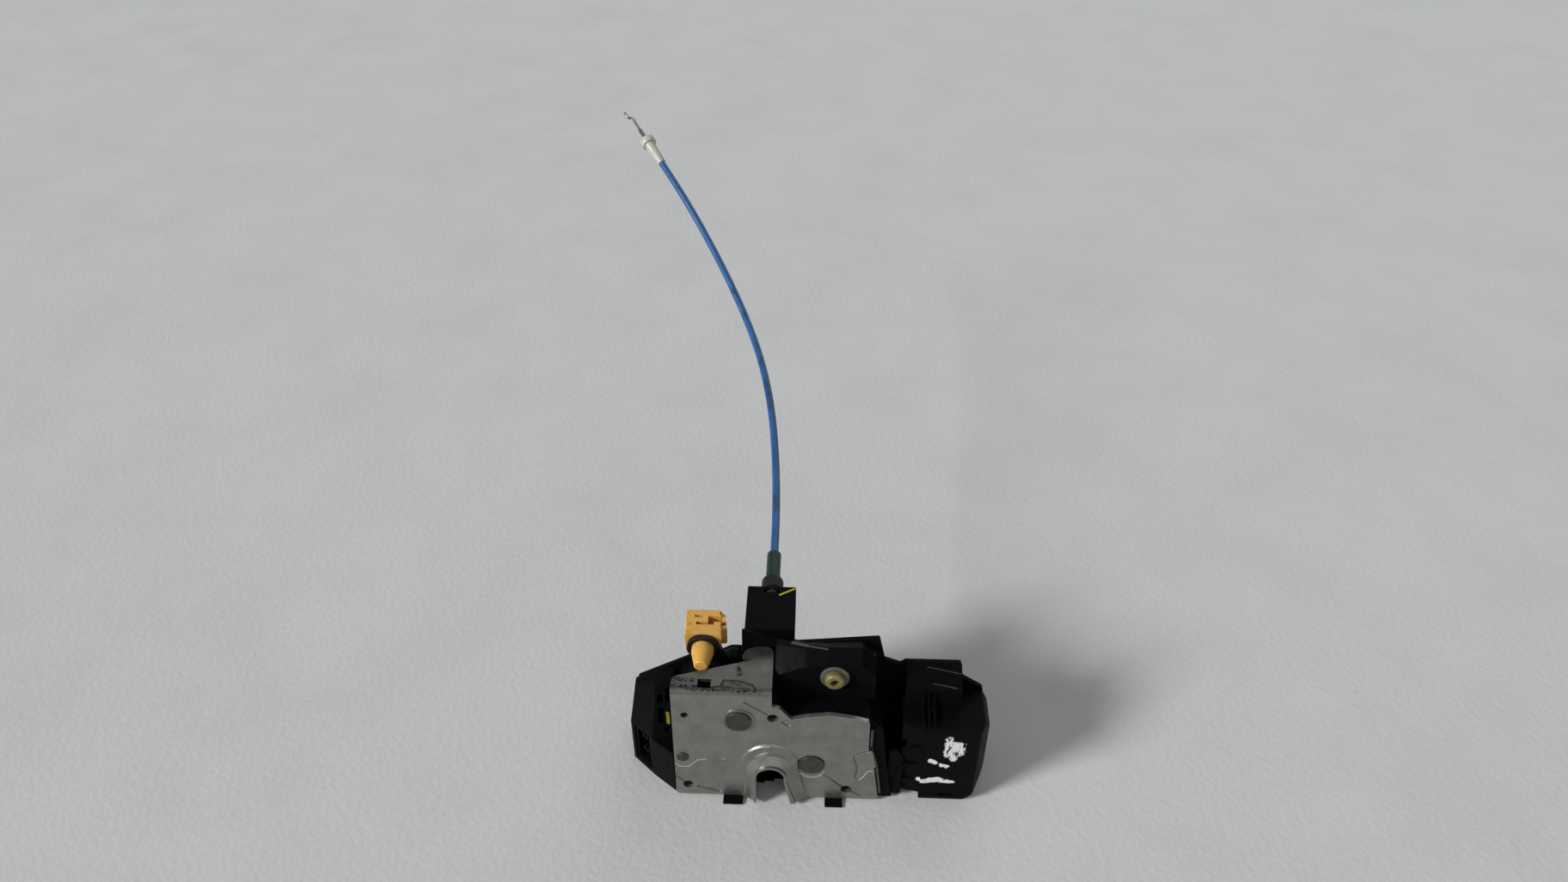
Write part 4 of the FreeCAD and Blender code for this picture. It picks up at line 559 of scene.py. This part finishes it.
class Finish:
    """A material with its principled shader and the object's coordinates at hand."""

    def __init__(self, name, metallic=0.0, roughness=0.5, specular=0.5):
        self.material = bpy.data.materials.new(name)
        self.material.use_nodes = True
        self.tree = self.material.node_tree
        self.shader = self.tree.nodes["Principled BSDF"]
        self.position = place(self.tree, "ShaderNodeTexCoord").outputs["Object"]
        self.set("Metallic", metallic)
        self.set("Roughness", roughness)
        self.set("Specular IOR Level", specular)

    def set(self, name, value):
        """Sets or joins one input of the shader."""
        feed(self.tree, value, self.shader.inputs[name])

    def bump(self, height, distance):
        """Distance is what a height of one stands for, in millimetres."""
        node = place(self.tree, "ShaderNodeBump")
        node.inputs["Strength"].default_value = 1.0
        node.inputs["Distance"].default_value = distance * MM
        self.tree.links.new(height, node.inputs["Height"])
        self.tree.links.new(node.outputs["Normal"], self.shader.inputs["Normal"])

    def vary_roughness(self, size, low, high):
        """Lets the roughness wander between two values over patches of a size in millimetres."""
        mask = patches(self.tree, self.position, size, 0.3, 0.7)
        self.set("Roughness", ramp(self.tree, mask, 0.0, 1.0, low, high))

    def let_light_in(self, weight):
        """Lets a share of the light pass a little way under the surface."""
        self.set("Subsurface Weight", weight)
        self.set("Subsurface Scale", LIGHT_REACH)

    def coordinate(self, axis):
        """One coordinate of the place that is shaded."""
        split = place(self.tree, "ShaderNodeSeparateXYZ")
        self.tree.links.new(self.position, split.inputs[0])
        return split.outputs[axis]


def strokes(finish, plane, table, edge, ragged):
    """The largest mask of a table of strokes."""
    masks = []
    for start, end, width in table:
        a, b = in_space(start, plane), in_space(end, plane)
        masks.append(stroke(finish.tree, finish.position, plane, a, b, width, edge, ragged))
    return highest(finish.tree, masks)


def path_strokes(points, width):
    """A table of strokes along a line of points."""
    return [(a, b, width) for a, b in zip(points, points[1:])]


def between(finish, axis, low, high):
    """One where a coordinate lies between two levels, in millimetres."""
    tree, here = finish.tree, finish.coordinate(axis)
    rising = ramp(tree, here, (low - LEVEL_BLUR) * MM, low * MM)
    return product(tree, rising, ramp(tree, here, high * MM, (high + LEVEL_BLUR) * MM, 1.0, 0.0))


def sheet_colour(finish, steel, pressed):
    """The bare sheet: patches and specks, painted shade in the pressed lines, painted highlights along lines,
    and yellow film.
    """
    tree, here = finish.tree, finish.position
    colour = tint(tree, patches(tree, here, 9.0, 0.35, 0.75), steel, shaded(steel, PATCH_SHADE))
    specks = product(tree, patches(tree, here, 1.1, 0.645, 0.73), 0.6)
    colour = tint(tree, specks, colour, shaded(steel, SPECK_SHADE))
    # Painted shade darkens the pressed lines
    colour = tint(tree, product(tree, pressed, 0.55), colour, shaded(steel, PRESSED_PAINTED_SHADE))
    # Painted highlights: the steel is brightened along lines of steps and rims
    tables = [path_strokes(line, 0.55) for line in PAINTED_HIGHLIGHT_PATHS]
    painted_highlights = highest(tree, [strokes(finish, FRONT, table, 0.5, 0.4) for table in tables])
    colour = tint(tree, product(tree, painted_highlights, 0.8), colour, shaded(steel, PAINTED_HIGHLIGHT_SHARE))
    film = highest(tree, [ring(tree, here, PAWL_RIVET, 6.4, 1.2), ring(tree, here, FILM_SPOT, 2.4, 2.6)])
    cover = reckon(tree, "ADD", patches(tree, here, 3.0, 0.3, 0.7), 0.2)
    return tint(tree, product(tree, film, cover, 0.7), colour, YELLOW_FILM)


def flange_dirt(finish, on_flange):
    """The flange's grease with its stain, and its fainter smudges."""
    tree = finish.tree
    stain = product(tree, strokes(finish, TOP, STAIN, 0.6, 1.2), 0.45)
    grease = reckon(tree, "MAXIMUM", strokes(finish, TOP, GREASE, 0.3, 0.9), stain)
    fine = product(tree, patches(tree, finish.position, 1.4, 0.46, 0.56), 0.75)
    smudges = product(tree, strokes(finish, TOP, SMUDGES, 1.2, 1.6), on_flange)
    return product(tree, grease, on_flange), product(tree, smudges, reckon(tree, "ADD", fine, 0.15))


def plate_steel():
    """Plated sheet: grey with soft patches, grease, yellow film by the rivets, pressed lines with painted
    shade, painted highlights, and painted shade on the flange.
    """
    given = settings().plate
    steel = tuple(given.steel)
    finish = Finish("plate_steel", metallic=0.85, roughness=0.4)
    tree, here = finish.tree, finish.position
    tab = strokes(finish, FRONT, path_strokes(TAB_LINE, 0.5), 0.45, 0.0)
    pressed = reckon(tree, "MAXIMUM", strokes(finish, FRONT, GROOVES, 0.9, 0.0), tab)
    on_flange = ramp(tree, finish.coordinate("Z"), *FLANGE_LEVELS)
    grease, smudges = flange_dirt(finish, on_flange)
    colour = sheet_colour(finish, steel, pressed)
    # Painted shade: the flange is darkened
    colour = tint(tree, on_flange, colour, tint(tree, 0.6, colour, shaded(steel, FLANGE_PAINTED_SHADE)))
    dirt = reckon(tree, "MAXIMUM", grease, smudges)
    finish.set("Base Color", tint(tree, dirt, colour, tuple(given.grease)))
    finish.set("Metallic", reckon(tree, "SUBTRACT", 0.85, product(tree, grease, 0.8)))
    finish.vary_roughness(4.0, 0.28, 0.40)
    step = strokes(finish, FRONT, path_strokes(STEP_LINE, 0.9), 0.9, 0.0)
    raised = highest(tree, [step, ring(tree, here, STUD, 5.2, 0.8), ring(tree, here, CLAW_RIVET, 6.6, 0.8)])
    height = reckon(tree, "SUBTRACT", grain(tree, here, 0.7), product(tree, pressed, PRESSED_DEPTH))
    finish.bump(reckon(tree, "ADD", height, product(tree, raised, RAISED_HEIGHT)), PLATE_GRAIN)
    return finish.material


def worn_steel(name, colour, roughness, metallic):
    """Plain steel with patches and fine grain."""
    finish = Finish(name, metallic=metallic, roughness=roughness)
    tree, here = finish.tree, finish.position
    finish.set("Base Color", tint(tree, patches(tree, here, 3.0, 0.35, 0.7), colour, shaded(colour, 0.6)))
    finish.vary_roughness(1.5, roughness - 0.06, roughness + 0.1)
    finish.bump(grain(tree, here, 0.4), 0.015)
    return finish.material


def moulding(name, colour, roughness, grain_size=0.35, grain_depth=0.02, dust=0.12, specular=0.45):
    """Moulded plastic: fine grain, and a little dust where it has gathered."""
    finish = Finish(name, roughness=roughness, specular=specular)
    tree, here = finish.tree, finish.position
    light = tuple(min(1.0, 1.8 * value + 0.006) for value in colour)
    cover = product(tree, patches(tree, here, 12.0, 0.45, 0.8), dust)
    finish.set("Base Color", tint(tree, cover, colour, light))
    finish.vary_roughness(3.0, roughness - 0.05, roughness + 0.1)
    finish.bump(grain(tree, here, grain_size), grain_depth)
    return finish


def marked(finish, mask, paint):
    """Paints a mask of one colour over a finish's own."""
    base = finish.shader.inputs["Base Color"].links[0].from_socket
    finish.set("Base Color", tint(finish.tree, mask, base, paint))


def black_moulding():
    """The black plastic, with the dab of yellow paint beside the plate and a painted highlight along the
    cover's ridge.
    """
    finish = moulding("black_moulding", tuple(settings().moulding.black), 0.42, specular=BLACK_SPECULAR)
    dab = strokes(finish, FRONT, YELLOW_DAB_STROKES, 0.3, 0.9)
    marked(finish, product(finish.tree, dab, between(finish, "Y", *DAB_DEPTHS)), YELLOW_DAB)
    # Painted highlight along the cover's ridge
    ridge = strokes(finish, TOP, RIDGE_HIGHLIGHT_STROKES, 0.5, 0.5)
    marked(finish, product(finish.tree, ridge, between(finish, "Z", *RIDGE_HEIGHTS)), RIDGE_HIGHLIGHT_GREY)
    return finish.material


def drive_moulding():
    """The drive case's plastic with its white paint smears and painted highlight lines on its hood."""
    given = settings().moulding
    finish = moulding("drive_moulding", tuple(given.black), 0.40, specular=BLACK_SPECULAR)
    tree = finish.tree
    masks = [strokes(finish, FRONT, DABS, 0.5, 2.2)]
    for table, stretch, gap in STREAKS:
        streaks = ramp(tree, grain(tree, finish.position, 1.7, stretch), gap, gap + 0.09)
        masks.append(product(tree, strokes(finish, FRONT, table, 0.8, 2.6), streaks))
    paint = product(tree, highest(tree, masks), between(finish, "Y", *SMEAR_DEPTHS))
    marked(finish, paint, tuple(given.paint))
    # Painted highlight lines on the hood's top and front edge
    lines = strokes(finish, TOP, HOOD_HIGHLIGHT_LINES, 0.2, 0.3)
    marked(finish, product(tree, lines, between(finish, "Z", *HOOD_HEIGHTS)), HOOD_HIGHLIGHT_GREY)
    return finish.material


def bracket_moulding():
    """The bracket's plastic with its yellow dash."""
    finish = moulding("bracket_moulding", tuple(settings().moulding.black), 0.44, specular=BLACK_SPECULAR)
    marked(finish, strokes(finish, TOP, YELLOW_DASH_STROKES, 0.25, 0.4), YELLOW_DASH)
    return finish.material


def amber_moulding():
    """The rod clip's amber plastic with browner patches."""
    finish = moulding("amber_moulding", tuple(settings().moulding.amber), 0.34, dust=0.0)
    tree = finish.tree
    marked(finish, product(tree, patches(tree, finish.position, 3.2, 0.5, 0.66), 0.35), BROWN_AMBER)
    finish.let_light_in(0.2)
    return finish.material


def brown_rubber():
    """Dull rubber of the seals and buffers."""
    return moulding("brown_rubber", (0.007, 0.006, 0.0065), 0.55, 0.5, 0.03, specular=0.25).material


def green_moulding():
    """The ferrule's dark green plastic."""
    return moulding("green_moulding", (0.006, 0.022, 0.020), 0.4, specular=0.3).material


def milky_nylon():
    """Pale nylon that lets a little light through."""
    finish = moulding("milky_nylon", (0.40, 0.40, 0.345), 0.38, dust=0.1)
    finish.let_light_in(0.35)
    return finish.material


def blue_sheath():
    """Extruded sheath: smooth, with faint rub marks."""
    given = tuple(settings().cable.sheath)
    finish = Finish("blue_sheath", roughness=0.36)
    tree, here = finish.tree, finish.position
    finish.set("Base Color", tint(tree, patches(tree, here, 14.0, 0.45, 0.7), given, shaded(given, 0.55)))
    finish.vary_roughness(6.0, 0.30, 0.46)
    finish.bump(grain(tree, here, 1.2), 0.02)
    return finish.material


FINISHES = {maker.__name__: maker for maker in (
    plate_steel, black_moulding, drive_moulding, bracket_moulding, amber_moulding, brown_rubber,
    green_moulding, milky_nylon, blue_sheath)}
MADE = {}


def finish_of(name):
    """The named finish, made the first time that it is asked for."""
    if name not in MADE:
        MADE[name] = worn_steel(name, *STEELS[name]) if name in STEELS else FINISHES[name]()
    return MADE[name]


# Meshes

def body_of(node):
    """The body that a node moves with."""
    return frame["nodes"][node]["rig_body"]


def new_piece(name, mesh, body, material):
    """A piece with its place in its mesh, riding on a body."""
    piece = bpy.data.objects.new(name, mesh)
    bpy.context.scene.collection.objects.link(piece)
    mesh.materials.clear()
    mesh.materials.append(material)
    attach(piece, body)
    return piece


def merged_copy(node, name):
    """A copy of a CAD node's mesh with its corners merged and its flat faces made whole."""
    mesh = frame["nodes"][node].data.copy()
    mesh.name = name
    shape = bmesh.new()
    shape.from_mesh(mesh)
    bmesh.ops.remove_doubles(shape, verts=shape.verts, dist=SAME_CORNER)
    bmesh.ops.dissolve_limit(shape, angle_limit=FLAT_ANGLE, verts=shape.verts, edges=shape.edges)
    for face in shape.faces:
        face.smooth = True
    for edge in shape.edges:
        edge.smooth = len(edge.link_faces) == 2 and edge.calc_face_angle(0.0) < SHARP_ANGLE
    shape.to_mesh(mesh)
    shape.free()
    return mesh


def softened(node, width, material):
    """A copy of a node whose edges are broken by a small bevel; it stands for the node."""
    name = node + "_finished"
    piece = new_piece(name, merged_copy(node, name), body_of(node), material)
    bevel = piece.modifiers.new("broken_edges", "BEVEL")
    bevel.width = width * MM
    bevel.segments = BEVEL_SEGMENTS
    bevel.limit_method = "ANGLE"
    bevel.angle_limit = SHARP_ANGLE
    bevel.use_clamp_overlap = True
    bevel.harden_normals = True
    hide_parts(node)
    return piece


class FinishMouldings(bpy.types.Operator):
    """Softens the edges of the moulded pieces and gives each its plastic"""

    bl_idname = "door_lock.mouldings"
    bl_label = "Mouldings"

    def execute(self, context):
        for node, (width, finish) in MOULDED.items():
            softened(node, width, finish_of(finish))
        return {"FINISHED"}


class FinishSteel(bpy.types.Operator):
    """Softens the edges of the steel pieces and gives each its metal"""

    bl_idname = "door_lock.steel"
    bl_label = "Steel pieces"

    def execute(self, context):
        for node, (width, finish) in STEEL.items():
            softened(node, width, finish_of(finish))
        return {"FINISHED"}


class FinishPlain(bpy.types.Operator):
    """Gives the small inner pieces their finishes"""

    bl_idname = "door_lock.plain"
    bl_label = "Small pieces"

    def execute(self, context):
        for node, finish in PLAIN.items():
            data = frame["nodes"][node].data
            data.materials.clear()
            data.materials.append(finish_of(finish))
        return {"FINISHED"}


class LayCable(bpy.types.Operator):
    """Lays the release cable's sheath along its route"""

    bl_idname = "door_lock.cable"
    bl_label = "Cable"

    def execute(self, context):
        curve = bpy.data.curves.new("release_cable", "CURVE")
        curve.dimensions = "3D"
        line = curve.splines.new("NURBS")
        line.points.add(len(CABLE_ROUTE) - 1)
        for point, spot in zip(line.points, CABLE_ROUTE):
            point.co = metres(spot) + (1.0,)
        line.order_u = 3
        line.use_endpoint_u = True
        line.resolution_u = SHEATH_STEPS
        curve.bevel_depth = SHEATH_DIAMETER / 2 * MM
        curve.bevel_resolution = SHEATH_ROUNDNESS
        curve.use_fill_caps = True
        piece = bpy.data.objects.new("release_cable", curve)
        context.scene.collection.objects.link(piece)
        curve.materials.append(finish_of("blue_sheath"))
        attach(piece, body_of("cable_sheath"))
        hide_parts("cable_sheath")
        return {"FINISHED"}


def cable_end(along, side=0.0):
    """A place at the cable's free end: so far beyond the sheath and to the side, in metres."""
    last, before = Vector(CABLE_ROUTE[-1]), Vector(CABLE_ROUTE[-2])
    forward = (last - before).normalized()
    across = forward.cross(Vector((0.0, 0.0, 1.0))).normalized()
    return (last + forward * along + across * side) * MM


class TurnSleeve(bpy.types.Operator):
    """Turns the nylon sleeve of the cable's end: a tapered body with its flange at the free end"""

    bl_idname = "door_lock.sleeve"
    bl_label = "Cable sleeve"

    def execute(self, context):
        axis = (cable_end(1.0) - cable_end(0.0)).normalized()
        turn = Vector((0.0, 0.0, 1.0)).rotation_difference(axis).to_matrix().to_4x4()
        shape = bmesh.new()
        rings = []
        for reach, radius in SLEEVE_PROFILE:
            angles = [math.tau * i / SLEEVE_SIDES for i in range(SLEEVE_SIDES)]
            points = [metres((math.cos(angle) * radius, math.sin(angle) * radius, reach)) for angle in angles]
            rings.append([shape.verts.new(point) for point in points])
        for lower, upper in zip(rings, rings[1:] + rings[:1]):
            for i in range(SLEEVE_SIDES):
                j = (i + 1) % SLEEVE_SIDES
                shape.faces.new((lower[i], lower[j], upper[j], upper[i]))
        bmesh.ops.recalc_face_normals(shape, faces=shape.faces)
        shape.transform(Matrix.Translation(cable_end(0.0)) @ turn)
        for edge in shape.edges:
            edge.smooth = edge.calc_face_angle(0.0) < SLEEVE_SHARP_ANGLE
        for face in shape.faces:
            face.smooth = True
        mesh = bpy.data.meshes.new("cable_sleeve")
        shape.to_mesh(mesh)
        shape.free()
        piece = new_piece("cable_sleeve", mesh, body_of("cable_end_sleeve"), finish_of("milky_nylon"))
        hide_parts("cable_end_sleeve")
        return {"FINISHED"}


class BendHook(bpy.types.Operator):
    """Bends the wire at the cable's end: a crimped rod, then the hook's small step"""

    bl_idname = "door_lock.hook"
    bl_label = "Cable hook"

    def execute(self, context):
        curve = bpy.data.curves.new("cable_hook", "CURVE")
        curve.dimensions = "3D"
        line = curve.splines.new("POLY")
        line.points.add(len(HOOK_STATIONS) - 1)
        for point, (along, side, radius) in zip(line.points, HOOK_STATIONS):
            point.co = tuple(cable_end(along, side)) + (1.0,)
            point.radius = radius
        curve.bevel_depth = MM
        curve.bevel_resolution = HOOK_ROUNDNESS
        curve.use_fill_caps = True
        carrier = bpy.data.objects.new("cable_hook_line", curve)
        context.scene.collection.objects.link(carrier)
        piece = applied(carrier, "cable_hook", body_of("cable_end_fitting"))
        piece.data.materials.clear()
        piece.data.materials.append(finish_of("spring_wire"))
        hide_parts("cable_end_fitting")
        return {"FINISHED"}


def walled(name, table, node, edge):
    """A moulded piece of blocks grown backwards from their outlines, on the body of a node."""
    shape = bmesh.new()
    for outline, front, back in table:
        corners = [shape.verts.new((x * MM, front * MM, z * MM)) for x, z in outline]
        face = shape.faces.new(corners)
        grown = bmesh.ops.extrude_face_region(shape, geom=[face])
        moved = [item for item in grown["geom"] if isinstance(item, bmesh.types.BMVert)]
        bmesh.ops.translate(shape, verts=moved, vec=(0.0, (back - front) * MM, 0.0))
    bmesh.ops.recalc_face_normals(shape, faces=shape.faces)
    mesh = bpy.data.meshes.new(name)
    shape.to_mesh(mesh)
    shape.free()
    piece = new_piece(name, mesh, body_of(node), finish_of("black_moulding"))
    bevel = piece.modifiers.new("broken_edges", "BEVEL")
    bevel.width = edge * MM
    bevel.segments = BEVEL_SEGMENTS


class CloseSide(bpy.types.Operator):
    """Closes the gap beside the drive case with its moulded wall, and sets black blocks behind the slot as
    painted shade
    """

    bl_idname = "door_lock.side_wall"
    bl_label = "Side wall and slot shade blocks"

    def execute(self, context):
        walled("side_wall", SIDE_WALL, "drive_case", edge=0.4)
        # Black blocks that put painted shade in the view through the slot
        walled("slot_shade_blocks", SLOT_SHADE_BLOCKS, "latch_case", edge=0.2)
        return {"FINISHED"}


def thread_tree():
    """Geometry nodes: a helix of thread inside each screw hole."""
    tree = bpy.data.node_groups.new("screw_thread", "GeometryNodeTree")
    tree.interface.new_socket("Geometry", in_out="INPUT", socket_type="NodeSocketGeometry")
    for label in ("Turns", "Radius", "Depth", "Ridge"):
        tree.interface.new_socket(label, in_out="INPUT", socket_type="NodeSocketFloat")
    tree.interface.new_socket("Finish", in_out="INPUT", socket_type="NodeSocketMaterial")
    tree.interface.new_socket("Geometry", in_out="OUTPUT", socket_type="NodeSocketGeometry")
    given = tree.nodes.new("NodeGroupInput").outputs
    result = tree.nodes.new("NodeGroupOutput").inputs
    helix = place(tree, "GeometryNodeCurveSpiral")
    helix.inputs["Resolution"].default_value = THREAD_STEPS
    for name in ("Start Radius", "End Radius"):
        tree.links.new(given["Radius"], helix.inputs[name])
    tree.links.new(given["Turns"], helix.inputs["Rotations"])
    tree.links.new(given["Depth"], helix.inputs["Height"])
    ridge = place(tree, "GeometryNodeCurvePrimitiveCircle")
    ridge.inputs["Resolution"].default_value = THREAD_SIDES
    tree.links.new(given["Ridge"], ridge.inputs["Radius"])
    swept = place(tree, "GeometryNodeCurveToMesh")
    swept.inputs["Fill Caps"].default_value = True
    tree.links.new(helix.outputs[0], swept.inputs["Curve"])
    tree.links.new(ridge.outputs[0], swept.inputs["Profile Curve"])
    spots = place(tree, "GeometryNodeInstanceOnPoints")
    tree.links.new(given["Geometry"], spots.inputs["Points"])
    tree.links.new(swept.outputs[0], spots.inputs["Instance"])
    spots.inputs["Rotation"].default_value = (math.radians(-90), 0.0, 0.0)
    solid = place(tree, "GeometryNodeRealizeInstances")
    tree.links.new(spots.outputs[0], solid.inputs[0])
    painted = place(tree, "GeometryNodeSetMaterial")
    tree.links.new(solid.outputs[0], painted.inputs["Geometry"])
    tree.links.new(given["Finish"], painted.inputs["Material"])
    tree.links.new(painted.outputs[0], result["Geometry"])
    return tree


def set_inputs(modifier, **values):
    """Sets a geometry nodes modifier's inputs by the identifiers of their sockets."""
    for item in modifier.node_group.interface.items_tree:
        if item.in_out == "INPUT" and item.name in values:
            modifier[item.identifier] = values[item.name]


def applied(carrier, name, body):
    """The modified carrier as a plain mesh piece; the carrier is removed."""
    bpy.context.view_layer.update()
    evaluated = carrier.evaluated_get(bpy.context.evaluated_depsgraph_get())
    mesh = bpy.data.meshes.new_from_object(evaluated)
    mesh.name = name
    bpy.data.objects.remove(carrier)
    piece = bpy.data.objects.new(name, mesh)
    bpy.context.scene.collection.objects.link(piece)
    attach(piece, body)
    return piece


class CutThreads(bpy.types.Operator):
    """Winds the thread inside the three screw holes of the plate"""

    bl_idname = "door_lock.threads"
    bl_label = "Screw threads"

    def execute(self, context):
        mesh = bpy.data.meshes.new("thread_spots")
        mesh.from_pydata([metres((x, THREAD_START, z)) for x, z in THREADED_HOLES], [], [])
        carrier = bpy.data.objects.new("thread_spots", mesh)
        context.scene.collection.objects.link(carrier)
        modifier = carrier.modifiers.new("thread", "NODES")
        modifier.node_group = thread_tree()
        set_inputs(modifier, Turns=float(settings().plate.turns), Radius=THREAD_RADIUS * MM,
                   Depth=THREAD_DEPTH * MM, Ridge=THREAD_RIDGE * MM, Finish=finish_of("rivet_steel"))
        piece = applied(carrier, "plate_threads", body_of("latch_plate"))
        return {"FINISHED"}


def camera_axes():
    """The camera's right, up and forward directions."""
    forward = Vector((math.sin(CAMERA_YAW) * math.cos(CAMERA_PITCH),
                      math.cos(CAMERA_YAW) * math.cos(CAMERA_PITCH), -math.sin(CAMERA_PITCH)))
    level = Vector((math.cos(CAMERA_YAW), -math.sin(CAMERA_YAW), 0.0))
    upright = level.cross(forward)
    right = level * math.cos(CAMERA_ROLL) + upright * math.sin(CAMERA_ROLL)
    up = upright * math.cos(CAMERA_ROLL) - level * math.sin(CAMERA_ROLL)
    return right, up, forward


def add_lamp(name, strength, spread, spot):
    """A distant soft lamp that shines from a spot towards the origin, evenly over the floor."""
    data = bpy.data.lights.new(name, "SUN")
    data.energy = strength
    data.angle = math.radians(spread)
    lamp = bpy.data.objects.new(name, data)
    bpy.context.scene.collection.objects.link(lamp)
    lamp.location = spot
    lamp.rotation_euler = (-Vector(spot)).to_track_quat("-Z", "Y").to_euler()


def pale_floor(given):
    """The floor with its paper-like finish."""
    half, low = given.reach / 2, FLOOR_LEVEL * MM
    corners = [(-half, -half, low), (half, -half, low), (half, half, low), (-half, half, low)]
    mesh = bpy.data.meshes.new("pale_floor")
    mesh.from_pydata(corners, [], [(0, 1, 2, 3)])
    floor = bpy.data.objects.new("pale_floor", mesh)
    bpy.context.scene.collection.objects.link(floor)
    paper = Finish("pale_paper", roughness=0.85, specular=0.2)
    tree, here = paper.tree, paper.position
    pale = tuple(given.floor)
    paper.set("Base Color", tint(tree, patches(tree, here, 60.0, 0.3, 0.8), pale, shaded(pale, 0.94)))
    paper.bump(grain(tree, here, 3.0), 0.25)
    mesh.materials.append(paper.material)
    return floor


def add_camera():
    """The photograph's camera."""
    data = bpy.data.cameras.new("photo_camera")
    data.sensor_width = SENSOR_WIDTH
    data.lens = SENSOR_WIDTH * FOCAL_PIXELS / PICTURE[0]
    data.clip_start = NEAREST_SEEN
    camera = bpy.data.objects.new("photo_camera", data)
    bpy.context.scene.collection.objects.link(camera)
    right, up, forward = camera_axes()
    depth = FOCAL_PIXELS / PIXELS_PER_METRE
    across = (SLOT_PIXEL[0] - PICTURE_MIDDLE[0]) / FOCAL_PIXELS * depth
    upward = (PICTURE_MIDDLE[1] - SLOT_PIXEL[1]) / FOCAL_PIXELS * depth
    spot = -(right * across + up * upward + forward * depth)
    turn = Matrix((right, up, -forward)).transposed()
    camera.matrix_world = Matrix.Translation(spot) @ turn.to_4x4()
    return camera


class SetStage(bpy.types.Operator):
    """Lays the pale floor and sets the lamps, the world and the camera"""

    bl_idname = "door_lock.stage"
    bl_label = "Stage"

    def execute(self, context):
        given = settings().stage
        floor = pale_floor(given)
        world = bpy.data.worlds.new("soft_room")
        context.scene.world = world
        world.use_nodes = True
        background = world.node_tree.nodes["Background"]
        background.inputs["Color"].default_value = WORLD_COLOUR
        background.inputs["Strength"].default_value = WORLD_STRENGTH
        for name, share, spread, spot in LAMPS:
            add_lamp(name, given.lamp * share, spread, spot)
        context.scene.camera = add_camera()
        context.scene.view_settings.view_transform = "Standard"
        return {"FINISHED"}


class DoorLockPanel(bpy.types.Panel):
    """Lists the steps that dress the lock"""

    bl_idname = "VIEW3D_PT_door_lock"
    bl_label = "Door lock"
    bl_space_type = "VIEW_3D"
    bl_region_type = "UI"
    bl_category = "Door lock"

    def draw(self, context):
        for step in STEPS:
            self.layout.operator(step.bl_idname)


STEPS = [
    SetStage, FinishMouldings, FinishSteel, FinishPlain, TurnSleeve, BendHook, LayCable, CloseSide,
    CutThreads]
SETTINGS = [PlateSettings, MouldingSettings, CableSettings, StageSettings, LockSettings]
CLASSES = SETTINGS + STEPS + [DoorLockPanel]


def register():
    for item in CLASSES:
        bpy.utils.register_class(item)
    bpy.types.Scene.door_lock = bpy.props.PointerProperty(type=LockSettings)


def unregister():
    del bpy.types.Scene.door_lock
    for item in reversed(CLASSES):
        bpy.utils.unregister_class(item)


def main():
    """Registers the add-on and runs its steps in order."""
    register()
    bpy.ops.door_lock.stage()
    bpy.ops.door_lock.mouldings()
    bpy.ops.door_lock.steel()
    bpy.ops.door_lock.plain()
    bpy.ops.door_lock.sleeve()
    bpy.ops.door_lock.hook()
    bpy.ops.door_lock.cable()
    bpy.ops.door_lock.side_wall()
    bpy.ops.door_lock.threads()


if __name__ == "__main__":
    main()
